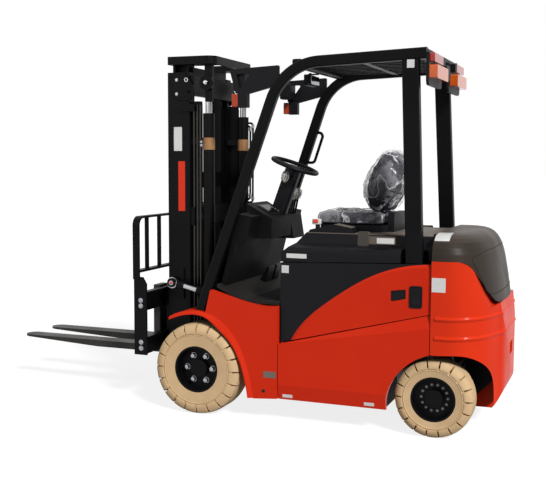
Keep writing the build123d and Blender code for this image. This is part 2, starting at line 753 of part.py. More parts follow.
# Seat cushion
with BuildPart() as seat_cushion:
    with BuildSketch(Plane.XY.offset(DECK_Z + 42)):
        with Locations((XR + 613, 0)):
            RectangleRounded(436, 2 * SEAT_HALF, 70)
    extrude(amount=72)
    fillet(seat_cushion.faces().sort_by(Axis.Z)[-1].edges(), 26)
seat_cushion.part.label = "seat_cushion"
export_step(seat_cushion.part, "parts/seat_cushion.step")

# Seat back, a rounded bucket leaning to the rear
seat_lean = Plane((XR + 470, 0, DECK_Z + 320), x_dir=(0, 1, 0), z_dir=(0.97, 0, 0.23))
with BuildPart() as seat_back:
    for depth, share in ((0, 0.9), (-26, 0.98), (-70, 1), (-SEAT_BACK_THICK, 0.84)):
        with BuildSketch(seat_lean.offset(depth)):
            with BuildLine():
                outline = Spline(
                    (0, 205 * share),
                    (150 * share, 165 * share),
                    (SEAT_HALF * share, 0),
                    ((SEAT_HALF - 25) * share, -140 * share),
                    (150 * share, -196 * share),
                    (0, -200 * share),
                    tangents=((1, 0), (-1, 0)),
                )
                Line(outline @ 1, outline @ 0)
            make_face()
            mirror(about=Plane.YZ)
    loft()
    add(seat_cushion.part, mode=Mode.SUBTRACT)
    add(seat_pan.part, mode=Mode.SUBTRACT)
seat_back.part.label = "seat_back"
export_step(seat_back.part, "parts/seat_back.step")

# Driver's floor and toe board
with BuildPart() as floor_plate:
    with BuildSketch(Plane.XZ.offset(-PANEL_Y + SKIN)):
        with BuildLine():
            Polyline(
                (DOOR_FRONT + 8, FLOOR_Z),
                (XF - 315, FLOOR_Z),
                (XF - 124, FLOOR_Z + 88),
                (XF - 124, FLOOR_Z + 66),
                (XF - 311, FLOOR_Z - 20),
                (DOOR_FRONT + 8, FLOOR_Z - 20),
                close=True,
            )
        make_face()
    extrude(amount=2 * PANEL_Y - 2 * SKIN)
floor_plate.part.label = "floor_plate"
export_step(floor_plate.part, "parts/floor_plate.step")

# Front cowl with the dashboard and instrument pod
with BuildPart() as front_cowl:
    with BuildSketch(Plane.XZ.offset(-COWL_Y)):
        with BuildLine():
            Polyline(
                (XF - 124, FLOOR_Z + 74),
                (XF - 240, 1272),
                (XF - 330, 1256),
                (XF - 300, 1112),
                (XF - 226, 1094),
                (XF - 154, FLOOR_Z + 60),
                close=True,
            )
        make_face()
    extrude(amount=2 * COWL_Y)
    with BuildSketch(Plane.XZ.offset(-300)):
        with BuildLine():
            Polyline(
                (XF - 246, 1250),
                (XF - 226, 1332),
                (XF - 402, 1236),
                (XF - 396, 1108),
                (XF - 260, 1108),
                close=True,
            )
        make_face()
    extrude(amount=360)
    with BuildSketch(Plane.XZ.offset(110)):
        with BuildLine():
            Polyline(
                (XF - 250, 1256),
                (XF - 374, 1240),
                (XF - 400, 1080),
                (XF - 250, 1080),
                close=True,
            )
        make_face()
    extrude(amount=220)
    add(floor_plate.part, mode=Mode.SUBTRACT)
front_cowl.part.label = "front_cowl"
export_step(front_cowl.part, "parts/front_cowl.step")

# Steering column
column_plane = Plane((WHEEL_X, 0, WHEEL_Z), x_dir=(0, 1, 0), z_dir=(-WHEEL_LEAN_X, 0, WHEEL_LEAN_Z))
with BuildPart() as steering_column:
    with BuildSketch(column_plane.offset(-30 - RUN_GAP)):
        RectangleRounded(86, 104, 30)
    extrude(amount=-380)
    add(front_cowl.part, mode=Mode.SUBTRACT)
    with BuildSketch(column_plane.offset(-60)):
        with Locations((70, 0)):
            Rectangle(90, 18)
    extrude(amount=-14)
steering_column.part.label = "steering_column"
export_step(steering_column.part, "parts/steering_column.step")

# Steering wheel with three spokes
with BuildPart() as steering_wheel:
    with BuildSketch(Plane(column_plane.origin, x_dir=(0, 1, 0), z_dir=(WHEEL_LEAN_Z, 0, WHEEL_LEAN_X))):
        with Locations((WHEEL_RIM_RADIUS, 0)):
            Circle(WHEEL_TUBE_RADIUS)
    revolve(axis=Axis(column_plane.origin, column_plane.z_dir))
    with BuildSketch(column_plane.offset(-30)):
        Circle(38)
    extrude(amount=30)
    with BuildSketch(column_plane.offset(-12)):
        for turn in (30, 150, 270):
            with Locations(Rotation(0, 0, turn)):
                with Locations((WHEEL_RIM_RADIUS / 2, 0)):
                    Rectangle(WHEEL_RIM_RADIUS, 26)
    extrude(amount=10)
steering_wheel.part.label = "steering_wheel"
export_step(steering_wheel.part, "parts/steering_wheel.step")

# Hydraulic levers with knobs
with BuildPart() as levers:
    for row in range(LEVER_COUNT):
        with BuildSketch(Plane((XF - 345, -LEVER_Y - row * LEVER_PITCH, 1226), z_dir=(-0.2, 0, 0.98))):
            Circle(7)
        extrude(amount=140)
        with Locations((XF - 373, -LEVER_Y - row * LEVER_PITCH, 1376)):
            Sphere(19)
    add(front_cowl.part, mode=Mode.SUBTRACT)
levers.part.label = "levers"
export_step(levers.part, "parts/levers.step")

# Accelerator and brake pedals
with BuildPart() as pedals:
    with BuildSketch(Plane.XZ.offset(170)):
        with BuildLine():
            Polyline(
                (XF - 228, 774),
                (XF - 190, 792),
                (XF - 246, 894),
                (XF - 260, 886),
                close=True,
            )
        make_face()
    extrude(amount=90)
    with BuildSketch(Plane.XZ.offset(20)):
        with BuildLine():
            Polyline(
                (XF - 228, 774),
                (XF - 190, 792),
                (XF - 246, 894),
                (XF - 260, 886),
                close=True,
            )
        make_face()
    extrude(amount=110)
    add(floor_plate.part, mode=Mode.SUBTRACT)
pedals.part.label = "pedals"
export_step(pedals.part, "parts/pedals.step")

# Overhead guard: bent front legs that run on as roof rails
leg_lean = Plane((0, GUARD_FOOT_Y - LEG_WIDTH / 2, LEG_FOOT_Z), x_dir=(1, 0, 0), z_dir=(0, -0.99955, -0.03))
with BuildPart() as guard_legs:
    with BuildLine(leg_lean) as leg_path:
        FilletPolyline(
            (XF - 11, 0),
            (ROOF_BEND_X, ROOF_BEND_Z - LEG_FOOT_Z),
            (GUARD_REAR, ROOF_REAR_Z - LEG_FOOT_Z),
            radius=ROOF_BEND_RADIUS,
        )
    with BuildSketch(Plane(leg_path.line @ 0, x_dir=(0, 1, 0), z_dir=leg_path.line % 0)):
        RectangleRounded(LEG_WIDTH, LEG_DEPTH, 12)
    sweep(path=leg_path.line)
    add(front_fenders.part, mode=Mode.SUBTRACT)
    mirror(about=Plane.XZ)
guard_legs.part.label = "guard_legs"
export_step(guard_legs.part, "parts/guard_legs.step")

# Rear posts of the guard
with BuildPart() as guard_posts:
    with BuildSketch(Plane.XY.offset(DOOR_TOP_Z - 4)):
        with Locations((POST_FOOT_X, HOOD_Y - POST_WIDTH / 2)):
            RectangleRounded(POST_DEPTH, POST_WIDTH, 8)
    with BuildSketch(Plane.XY.offset(ROOF_REAR_Z - LEG_DEPTH / 2 - 2)):
        with Locations((POST_FOOT_X + 52, GUARD_TOP_Y - POST_WIDTH / 2)):
            RectangleRounded(POST_DEPTH, POST_WIDTH, 8)
    loft()
    mirror(about=Plane.XZ)
    add(guard_legs.part, mode=Mode.SUBTRACT)
guard_posts.part.label = "guard_posts"
export_step(guard_posts.part, "parts/guard_posts.step")

# Guard roof: cross bars and lengthwise slats
with BuildPart() as guard_roof:
    with BuildSketch(Plane.XZ.offset(-GUARD_TOP_Y + LEG_WIDTH + 4)):
        with Locations((GUARD_REAR + 30, ROOF_REAR_Z)):
            RectangleRounded(60, 60, 10)
        with Locations((XR + 480, ROOF_REAR_Z - 14)):
            Rectangle(40, 44)
        with Locations((XR + 880, ROOF_REAR_Z - 28)):
            RectangleRounded(60, 50, 10)
    extrude(amount=2 * GUARD_TOP_Y - 2 * LEG_WIDTH - 8)
    with BuildSketch(Plane.YZ.offset(GUARD_REAR + 40)):
        for slat in range(SLAT_COUNT):
            with Locations(((slat - (SLAT_COUNT - 1) / 2) * SLAT_PITCH, ROOF_REAR_Z - 14)):
                Rectangle(12, 38)
    extrude(amount=XR + 900 - GUARD_REAR - 40)
guard_roof.part.label = "guard_roof"
export_step(guard_roof.part, "parts/guard_roof.step")

# Head lamps in open brackets ahead of the front legs
with BuildPart() as headlamps:
    with BuildSketch(Plane.XZ.offset(-LAMP_Y)):
        with BuildLine():
            FilletPolyline(
                (LAMP_FRONT, LAMP_TOP_Z - 16),
                (LAMP_FRONT - 42, LAMP_TOP_Z - 164),
                (LAMP_FRONT - 118, LAMP_TOP_Z - 170),
                (XR + 985, LAMP_TOP_Z - 120),
                (XR + 985, LAMP_TOP_Z),
                radius=8,
                close=True,
            )
        make_face()
        with BuildLine():
            FilletPolyline(
                (LAMP_FRONT - 46, LAMP_TOP_Z - 46),
                (LAMP_FRONT - 70, LAMP_TOP_Z - 140),
                (LAMP_FRONT - 140, LAMP_TOP_Z - 46),
                radius=8,
                close=True,
            )
        make_face(mode=Mode.SUBTRACT)
    extrude(amount=20)
    with BuildSketch(Plane.XZ.offset(-LAMP_Y)):
        with Locations((LAMP_FRONT - 88, LAMP_TOP_Z - 206)):
            Rectangle(64, 88)
    extrude(amount=40)
    add(guard_legs.part, mode=Mode.SUBTRACT)
    with BuildSketch(Plane.YZ.offset(LAMP_FRONT - 96)):
        with Locations((LAMP_Y - 72, LAMP_TOP_Z - 92)):
            RectangleRounded(110, 110, 18)
    extrude(amount=76)
    mirror(about=Plane.XZ)
headlamps.part.label = "headlamps"
export_step(headlamps.part, "parts/headlamps.step")

# Turn lamps under the head lamps
with BuildPart() as turn_lamps:
    with BuildSketch(Plane.YZ.offset(LAMP_FRONT - 56)):
        with Locations((LAMP_Y - 20, LAMP_TOP_Z - 206), (20 - LAMP_Y, LAMP_TOP_Z - 206)):
            RectangleRounded(40, 80, 6)
    extrude(amount=40)
turn_lamps.part.label = "turn_lamps"
export_step(turn_lamps.part, "parts/turn_lamps.step")

# Tail lamp plates behind the roof's rear bar, their clear ends and the warning horn between them
with BuildPart() as tail_lamps:
    with BuildSketch(Plane.YZ.offset(GUARD_REAR - TAIL_PLATE)):
        with Locations((TAIL_LAMP_Y, TAIL_PLATE_Z)):
            RectangleRounded(2 * (GUARD_TOP_Y - TAIL_LAMP_Y), TAIL_PLATE_HIGH, 36)
    extrude(amount=TAIL_PLATE)
    with BuildSketch(Plane.YZ.offset(GUARD_REAR - TAIL_PLATE - 30)):
        with Locations((TAIL_LAMP_Y - 110, RED_LENS_Z)):
            RectangleRounded(56, RED_LENS_HIGH, 8)
    extrude(amount=32)
    add(guard_legs.part, mode=Mode.SUBTRACT)
    mirror(about=Plane.XZ)
    with BuildSketch(Plane.YZ.offset(GUARD_REAR - 34)):
        with Locations((0, ROOF_REAR_Z - 30 - 45)):
            RectangleRounded(110, 90, 14)
    extrude(amount=70)
tail_lamps.part.label = "tail_lamps"
export_step(tail_lamps.part, "parts/tail_lamps.step")

# Red and amber lenses of the tail lamps
for colour, lens_z, lens_y, lens_wide, lens_high, lens_deep in (
    ("red", RED_LENS_Z, TAIL_LAMP_Y + 46, 250, RED_LENS_HIGH, 30),
    ("amber", AMBER_LENS_Z, TAIL_LAMP_Y + 18, 320, AMBER_LENS_HIGH, 48),
):
    with BuildPart() as tail_lens:
        with BuildSketch(Plane.YZ.offset(GUARD_REAR - TAIL_PLATE - lens_deep)):
            with Locations((lens_y, lens_z), (-lens_y, lens_z)):
                RectangleRounded(lens_wide, lens_high, 8)
        extrude(amount=lens_deep)
    tail_lens.part.label = "tail_lens_" + colour
    export_step(tail_lens.part, "parts/tail_lens_" + colour + ".step")

# Mirror and grab handle
with BuildPart() as mirror_arm:
    with BuildSketch(Plane.YZ.offset(XR + 935)):
        with Locations((0, ROOF_REAR_Z - 97)):
            RectangleRounded(180, 70, 12)
    extrude(amount=24)
    with BuildSketch(Plane.XY.offset(ROOF_REAR_Z - 67)):
        with Locations((XR + 947, 0)):
            Circle(8)
    extrude(amount=20)
    with BuildSketch(Plane.XY.offset(ROOF_REAR_Z - 61)):
        with Locations((XR + 925, 0)):
            Rectangle(70, 24)
    extrude(amount=8)
mirror_arm.part.label = "mirror"
export_step(mirror_arm.part, "parts/mirror.step")

with BuildPart() as grab_handle:
    with BuildLine(Plane.XZ.offset(GUARD_FOOT_Y - LEG_WIDTH - 2)) as grab_path:
        FilletPolyline(
            (XR + 1136, 1590),
            (XR + 1080, 1590),
            (XR + 1010, 1800),
            (XR + 1066, 1800),
            radius=26,
        )
    with BuildSketch(Plane(grab_path.line @ 0, z_dir=grab_path.line % 0)):
        Circle(10)
    sweep(path=grab_path.line)
    add(guard_legs.part, mode=Mode.SUBTRACT)
grab_handle.part.label = "grab_handle"
export_step(grab_handle.part, "parts/grab_handle.step")

# Drive axle housing
with BuildPart() as drive_axle:
    with BuildSketch(Plane.XZ.offset(-AXLE_END_Y)):
        with Locations((XF, DRIVE_TYRE_RADIUS)):
            Circle(AXLE_TUBE_RADIUS)
    extrude(amount=2 * AXLE_END_Y)
    with BuildSketch(Plane.XZ.offset(-150)):
        with Locations((XF - 20, DRIVE_TYRE_RADIUS)):
            Circle(128)
    extrude(amount=300)
    for side in (1, -1):
        with BuildSketch(Plane.XZ.offset(-side * (AXLE_END_Y - 40) - 36)):
            with Locations((XF, DRIVE_TYRE_RADIUS)):
                Circle(112)
        extrude(amount=72)
    with BuildSketch(Plane.XZ.offset(-DRIVE_OUTER_FACE + 60)):
        with Locations((XF, DRIVE_TYRE_RADIUS)):
            Circle(DRIVE_SPINDLE_RADIUS)
    extrude(amount=2 * DRIVE_OUTER_FACE - 120)
drive_axle.part.label = "drive_axle"
export_step(drive_axle.part, "parts/drive_axle.step")

# Steer axle beam with kingpin yokes
with BuildPart() as steer_axle:
    with BuildSketch(Plane.XZ.offset(-250)):
        with Locations((XR, STEER_TYRE_RADIUS)):
            Rectangle(116, 120)
    extrude(amount=500)
    for level in (STEER_TYRE_RADIUS + 68, STEER_TYRE_RADIUS - 94):
        with BuildSketch(Plane.XY.offset(level)):
            with Locations((XR, 0)):
                Rectangle(84, 2 * KINGPIN_Y)
            with Locations((XR, KINGPIN_Y), (XR, -KINGPIN_Y)):
                Circle(42)
            with Locations((XR, KINGPIN_Y), (XR, -KINGPIN_Y)):
                Circle(KINGPIN_RADIUS + RUN_GAP, mode=Mode.SUBTRACT)
        extrude(amount=26)
    with BuildSketch(Plane.XY.offset(STEER_TYRE_RADIUS - 94)):
        with Locations((XR, 0)):
            Rectangle(84, 480)
    extrude(amount=162)
    add(frame.part, mode=Mode.SUBTRACT)
steer_axle.part.label = "steer_axle"
export_step(steer_axle.part, "parts/steer_axle.step")

# Knuckles: kingpin, block and wheel spindle
for side, name in ((1, "left"), (-1, "right")):
    with BuildPart() as knuckle:
        with BuildSketch(Plane.XY.offset(STEER_TYRE_RADIUS - 94)):
            with Locations((XR, side * KINGPIN_Y)):
                Circle(KINGPIN_RADIUS)
        extrude(amount=188)
        with BuildSketch(Plane.XY.offset(STEER_TYRE_RADIUS - 63)):
            with Locations((XR, side * KINGPIN_Y)):
                Circle(40)
        extrude(amount=126)
        with BuildSketch(Plane.XZ.offset(-side * KINGPIN_Y)):
            with Locations((XR, STEER_TYRE_RADIUS)):
                Circle(STEER_SPINDLE_RADIUS)
        extrude(amount=side * (KINGPIN_Y + 44 - STEER_OUTER_FACE))
    knuckle.part.label = "knuckle_" + name
    export_step(knuckle.part, "parts/knuckle_" + name + ".step")

# Wheels: rim with hub and nuts, and a tyre out to the tips of its lugs
for side, name in ((1, "left"), (-1, "right")):
    drive_hub = Plane((XF, side * DRIVE_OUTER_FACE, DRIVE_TYRE_RADIUS), x_dir=(1, 0, 0), z_dir=(0, side, 0))
    with BuildPart() as front_rim:
        with BuildSketch(drive_hub.offset(-DRIVE_TYRE_WIDTH + 5)):
            Circle(DRIVE_RIM_RADIUS)
            Circle(DRIVE_RIM_RADIUS - 12, mode=Mode.SUBTRACT)
        extrude(amount=DRIVE_TYRE_WIDTH - 10)
        with BuildSketch(drive_hub.offset(-84)):
            Circle(DRIVE_RIM_RADIUS - 6)
        extrude(amount=16)
        with BuildSketch(drive_hub.offset(-84)):
            Circle(56)
        extrude(amount=44)
        with BuildSketch(drive_hub.offset(-84)):
            Circle(DRIVE_SPINDLE_RADIUS + RUN_GAP)
        extrude(amount=30, mode=Mode.SUBTRACT)
        with BuildSketch(drive_hub.offset(-70)):
            with PolarLocations(DRIVE_NUT_CIRCLE, 6):
                RegularPolygon(DRIVE_NUT_RADIUS, 6)
        extrude(amount=22)
    front_rim.part.label = "front_rim_" + name
    export_step(front_rim.part, "parts/front_rim_" + name + ".step")
    with BuildPart() as front_tyre:
        with BuildSketch(Plane(drive_hub.origin, x_dir=(0, 0, 1), z_dir=(-1, 0, 0))):
            with BuildLine():
                Polyline(
                    (DRIVE_RIM_RADIUS, -side * 4),
                    (DRIVE_RIM_RADIUS + 60, 0),
                    (DRIVE_TYRE_RADIUS - 26, -side * 6),
                    (DRIVE_TYRE_RADIUS - 6, -side * 22),
                    (DRIVE_TYRE_RADIUS, -side * 50),
                    (DRIVE_TYRE_RADIUS, -side * (DRIVE_TYRE_WIDTH - 50)),
                    (DRIVE_TYRE_RADIUS - 6, -side * (DRIVE_TYRE_WIDTH - 22)),
                    (DRIVE_TYRE_RADIUS - 26, -side * (DRIVE_TYRE_WIDTH - 6)),
                    (DRIVE_RIM_RADIUS + 60, -side * DRIVE_TYRE_WIDTH),
                    (DRIVE_RIM_RADIUS, -side * (DRIVE_TYRE_WIDTH - 4)),
                    close=True,
                )
            make_face()
        revolve(axis=Axis((XF, 0, DRIVE_TYRE_RADIUS), (0, 1, 0)))
        with BuildSketch(drive_hub.offset(-DRIVE_GROOVE_LONG)):
            with PolarLocations(DRIVE_TYRE_RADIUS, DRIVE_LUGS):
                Rectangle(2 * GROOVE_DEEP, GROOVE_WIDE)
        extrude(amount=DRIVE_GROOVE_LONG + 5, mode=Mode.SUBTRACT)
        with BuildSketch(drive_hub.offset(-DRIVE_TYRE_WIDTH - 5)):
            with PolarLocations(DRIVE_TYRE_RADIUS, DRIVE_LUGS, start_angle=180 / DRIVE_LUGS):
                Rectangle(2 * GROOVE_DEEP, GROOVE_WIDE)
        extrude(amount=DRIVE_GROOVE_LONG + 5, mode=Mode.SUBTRACT)
    front_tyre.part.label = "front_tyre_" + name
    export_step(front_tyre.part, "parts/front_tyre_" + name + ".step")
    steer_hub = Plane((XR, side * STEER_OUTER_FACE, STEER_TYRE_RADIUS), x_dir=(1, 0, 0), z_dir=(0, side, 0))
    with BuildPart() as rear_rim:
        with BuildSketch(steer_hub.offset(-STEER_TYRE_WIDTH + 4)):
            Circle(STEER_RIM_RADIUS)
            Circle(STEER_RIM_RADIUS - 11, mode=Mode.SUBTRACT)
        extrude(amount=STEER_TYRE_WIDTH - 8)
        with BuildSketch(steer_hub.offset(-72)):
            Circle(STEER_RIM_RADIUS - 6)
        extrude(amount=14)
        with BuildSketch(steer_hub.offset(-72)):
            Circle(52)
        extrude(amount=46)
        with BuildSketch(steer_hub.offset(-72)):
            Circle(STEER_SPINDLE_RADIUS + RUN_GAP)
        extrude(amount=34, mode=Mode.SUBTRACT)
    rear_rim.part.label = "rear_rim_" + name
    export_step(rear_rim.part, "parts/rear_rim_" + name + ".step")
    with BuildPart() as rear_tyre:
        with BuildSketch(Plane(steer_hub.origin, x_dir=(0, 0, 1), z_dir=(-1, 0, 0))):
            with BuildLine():
                Polyline(
                    (STEER_RIM_RADIUS, -side * 4),
                    (STEER_RIM_RADIUS + 40, 0),
                    (STEER_TYRE_RADIUS - 20, -side * 5),
                    (STEER_TYRE_RADIUS - 5, -side * 18),
                    (STEER_TYRE_RADIUS, -side * 40),
                    (STEER_TYRE_RADIUS, -side * (STEER_TYRE_WIDTH - 40)),
                    (STEER_TYRE_RADIUS - 5, -side * (STEER_TYRE_WIDTH - 18)),
                    (STEER_TYRE_RADIUS - 20, -side * (STEER_TYRE_WIDTH - 5)),
                    (STEER_RIM_RADIUS + 40, -side * STEER_TYRE_WIDTH),
                    (STEER_RIM_RADIUS, -side * (STEER_TYRE_WIDTH - 4)),
                    close=True,
                )
            make_face()
        revolve(axis=Axis((XR, 0, STEER_TYRE_RADIUS), (0, 1, 0)))
        with BuildSketch(steer_hub.offset(-STEER_GROOVE_LONG)):
            with PolarLocations(STEER_TYRE_RADIUS, STEER_LUGS):
                Rectangle(2 * GROOVE_DEEP, GROOVE_WIDE)
        extrude(amount=STEER_GROOVE_LONG + 5, mode=Mode.SUBTRACT)
        with BuildSketch(steer_hub.offset(-STEER_TYRE_WIDTH - 5)):
            with PolarLocations(STEER_TYRE_RADIUS, STEER_LUGS, start_angle=180 / STEER_LUGS):
                Rectangle(2 * GROOVE_DEEP, GROOVE_WIDE)
        extrude(amount=STEER_GROOVE_LONG + 5, mode=Mode.SUBTRACT)
    rear_tyre.part.label = "rear_tyre_" + name
    export_step(rear_tyre.part, "parts/rear_tyre_" + name + ".step")

# Outer mast: channel rails, rear ties, axle bearings and tilt lugs
with BuildPart() as outer_mast:
    with BuildSketch(Plane.XY.offset(OUTER_BOTTOM_Z)):
        with Locations((RAIL_FRONT - RAIL_DEPTH / 2, RAIL_OUTER_Y - RAIL_FLANGE / 2)):
            Rectangle(RAIL_DEPTH, RAIL_FLANGE)
        with Locations((RAIL_FRONT - RAIL_DEPTH / 2, RAIL_OUTER_Y - RAIL_WEB - RAIL_FLANGE / 2)):
            Rectangle(RAIL_DEPTH - 2 * RAIL_WEB, RAIL_FLANGE, mode=Mode.SUBTRACT)
    extrude(amount=OUTER_TOP_Z - OUTER_BOTTOM_Z)
    with BuildSketch(Plane.XZ.offset(-RAIL_OUTER_Y - 14)):
        with BuildLine():
            Polyline(
                (TILT_PIN_X - 60, TILT_PIN_Z - 110),
                (TILT_PIN_X + 30, TILT_PIN_Z - 60),
                (TILT_PIN_X + 34, TILT_PIN_Z + 40),
                (TILT_PIN_X - 60, TILT_PIN_Z + 90),
                close=True,
            )
        make_face()
    extrude(amount=15)
    with BuildSketch(Plane.XZ.offset(-TILT_Y - 20)):
        with Locations((TILT_PIN_X, TILT_PIN_Z)):
            Circle(14)
    extrude(amount=TILT_Y + 20 - RAIL_OUTER_Y - 4)
    with BuildSketch(Plane.XZ.offset(-RAIL_OUTER_Y + RAIL_FLANGE - 32)):
        with BuildLine():
            Polyline(
                (RAIL_FRONT - RAIL_DEPTH + 2, 150),
                (XF - 20, 190),
                (XF - 20, 390),
                (RAIL_FRONT - RAIL_DEPTH + 2, 470),
                close=True,
            )
        make_face()
        with Locations((XF, DRIVE_TYRE_RADIUS)):
            Circle(AXLE_TUBE_RADIUS + 34)
            Circle(AXLE_TUBE_RADIUS + RUN_GAP, mode=Mode.SUBTRACT)
    extrude(amount=50)
    with BuildSketch(Plane.XZ.offset(-RAIL_OUTER_Y - 9)):
        with BuildLine():
            FilletPolyline(
                (RAIL_FRONT - 16, OUTER_TOP_Z - 2),
                (RAIL_FRONT - 124, OUTER_TOP_Z - 2),
                (RAIL_FRONT - 187, OUTER_TOP_Z - 88),
                (RAIL_FRONT - 180, OUTER_TOP_Z - 160),
                (RAIL_FRONT - 166, OUTER_TOP_Z - 178),
                (RAIL_FRONT - 80, OUTER_TOP_Z - 178),
                (RAIL_FRONT - 38, OUTER_TOP_Z - 132),
                (RAIL_FRONT - 36, OUTER_TOP_Z - 70),
                (RAIL_FRONT - 16, OUTER_TOP_Z - 48),
                radius=10,
                close=True,
            )
        make_face()
        with Locations((RAIL_FRONT - 156, OUTER_TOP_Z - 126)):
            Circle(11, mode=Mode.SUBTRACT)
        with Locations((RAIL_FRONT - 144, OUTER_TOP_Z - 228)):
            RectangleRounded(100, 46, 8)
    extrude(amount=11)
    mirror(about=Plane.XZ)
    for low, high in ((OUTER_BOTTOM_Z + 20, 300), (1180, 1300), (OUTER_TOP_Z - 150, OUTER_TOP_Z - 20)):
        with BuildSketch(Plane.XY.offset(low)):
            with Locations((RAIL_FRONT - RAIL_DEPTH - MAST_TIE / 2 + 1, 0)):
                Rectangle(MAST_TIE, 2 * RAIL_OUTER_Y - 20)
        extrude(amount=high - low)
outer_mast.part.label = "outer_mast"
export_step(outer_mast.part, "parts/outer_mast.step")

# Inner mast: I-section rails, ties and the bent top frame
with BuildPart() as inner_mast:
    with BuildSketch(Plane.XY.offset(INNER_BOTTOM_Z)):
        with Locations((INNER_X, INNER_WEB_Y - INNER_WEB / 2)):
            Rectangle(INNER_DEPTH, INNER_WEB)
        for flange in (INNER_DEPTH / 2 - INNER_WEB / 2, INNER_WEB / 2 - INNER_DEPTH / 2):
            with Locations((INNER_X + flange, INNER_WEB_Y - INNER_WEB / 2)):
                Rectangle(INNER_WEB, 2 * INNER_FLANGE)
    extrude(amount=INNER_TOP_Z - 40 - INNER_BOTTOM_Z)
    mirror(about=Plane.XZ)
    for low in (INNER_BOTTOM_Z + 20, INNER_MIDDLE_Z, INNER_TOP_Z - 170):
        with BuildSketch(Plane.XY.offset(low)):
            with Locations((INNER_TIE_FRONT - 9, 0)):
                Rectangle(18, 2 * INNER_WEB_Y)
        extrude(amount=INNER_TIE_HIGH)
    with BuildSketch(Plane.XY.offset(INNER_TOP_Z - TOP_TIE_HIGH)):
        with BuildLine():
            FilletPolyline(
                (RAIL_FRONT, RAIL_OUTER_Y),
                (TOP_TIE_REAR, RAIL_OUTER_Y),
                (TOP_TIE_REAR, -RAIL_OUTER_Y),
                (RAIL_FRONT, -RAIL_OUTER_Y),
                radius=60,
            )
            Line((RAIL_FRONT, -RAIL_OUTER_Y), (RAIL_FRONT, 18 - RAIL_OUTER_Y))
            FilletPolyline(
                (RAIL_FRONT, 18 - RAIL_OUTER_Y),
                (TOP_TIE_REAR + 18, 18 - RAIL_OUTER_Y),
                (TOP_TIE_REAR + 18, RAIL_OUTER_Y - 18),
                (RAIL_FRONT, RAIL_OUTER_Y - 18),
                radius=42,
            )
            Line((RAIL_FRONT, RAIL_OUTER_Y - 18), (RAIL_FRONT, RAIL_OUTER_Y))
        make_face()
    extrude(amount=TOP_TIE_HIGH)
    head_plate = RAIL_FRONT - LIFT_X + 40
    with BuildSketch(Plane.XY.offset(INNER_TOP_Z - TOP_TIE_HIGH)):
        with Locations((RAIL_FRONT - head_plate / 2, LIFT_Y - 18), (RAIL_FRONT - head_plate / 2, 18 - LIFT_Y)):
            Rectangle(head_plate, 120)
    extrude(amount=16)
    for side in (1, -1):
        with BuildSketch(Plane.XZ.offset(-side * (LIFT_Y - 4) - 14)):
            with BuildLine():
                FilletPolyline(
                    (LIFT_X + 26, INNER_TOP_Z - TOP_TIE_HIGH + 4),
                    (LIFT_X - 30, INNER_TOP_Z - TOP_TIE_HIGH + 4),
                    (LIFT_X - 26, ROD_HEAD_Z),
                    (LIFT_X + 22, ROD_HEAD_Z),
                    radius=8,
                    close=True,
                )
            make_face()
        extrude(amount=28)
        with BuildSketch(Plane.XZ.offset(-side * (LIFT_Y + 34))):
            with Locations((LIFT_X + 4, SHEAVE_Z)):
                Circle(SHEAVE_RADIUS)
        extrude(amount=side * 18)
        with BuildSketch(Plane.XZ.offset(-side * (LIFT_Y + 44))):
            with Locations((LIFT_X + 4, SHEAVE_Z)):
                Circle(14)
        extrude(amount=side * 44)
inner_mast.part.label = "inner_mast"
export_step(inner_mast.part, "parts/inner_mast.step")

# Side lift cylinders on the outer mast
with BuildPart() as lift_cylinders:
    with BuildSketch(Plane.XY.offset(LIFT_FOOT_Z)):
        with Locations((LIFT_X, LIFT_Y), (LIFT_X, -LIFT_Y)):
            Circle(LIFT_BARREL_RADIUS)
    extrude(amount=LIFT_BARREL_TOP - LIFT_FOOT_Z)
    for clamp in (LIFT_FOOT_Z + 40, 1220, LIFT_BARREL_TOP - 196):
        with BuildSketch(Plane.XY.offset(clamp)):
            for side in (1, -1):
                with Locations(((LIFT_X + 30 + RAIL_FRONT - RAIL_DEPTH) / 2, side * LIFT_Y)):
                    Rectangle(RAIL_FRONT - RAIL_DEPTH - LIFT_X - 30, 50)
        extrude(amount=40)
    for offset_x in (PIPE_BACK, PIPE_BACK + PIPE_PITCH):
        with BuildLine(Plane.XZ.offset(LIFT_Y)) as pipe_path:
            FilletPolyline(
                (LIFT_X - LIFT_ROD_RADIUS - 8, PIPE_LOW - offset_x),
                (LIFT_X - offset_x, PIPE_LOW - offset_x),
                (LIFT_X - offset_x, LIFT_BARREL_TOP - 115 + offset_x),
                (LIFT_X - LIFT_ROD_RADIUS - 8, LIFT_BARREL_TOP - 115 + offset_x),
                radius=20,
            )
        with BuildSketch(Plane(pipe_path.line @ 0, z_dir=pipe_path.line % 0)):
            Circle(PIPE_RADIUS)
        sweep(path=pipe_path.line)
    with BuildSketch(Plane.XY.offset(LIFT_FOOT_Z + 20)):
        with Locations((LIFT_X, LIFT_Y), (LIFT_X, -LIFT_Y)):
            Circle(LIFT_ROD_RADIUS + RUN_GAP)
    extrude(amount=LIFT_BARREL_TOP - LIFT_FOOT_Z, mode=Mode.SUBTRACT)
    add(outer_mast.part, mode=Mode.SUBTRACT)
lift_cylinders.part.label = "lift_cylinders"
export_step(lift_cylinders.part, "parts/lift_cylinders.step")

# Chromed lift rods that raise the inner mast
with BuildPart() as lift_rods:
    with BuildSketch(Plane.XY.offset(LIFT_ROD_LOW)):
        with Locations((LIFT_X, LIFT_Y), (LIFT_X, -LIFT_Y)):
            Circle(LIFT_ROD_RADIUS)
    extrude(amount=ROD_HEAD_Z - LIFT_ROD_LOW)
lift_rods.part.label = "lift_rods"
export_step(lift_rods.part, "parts/lift_rods.step")

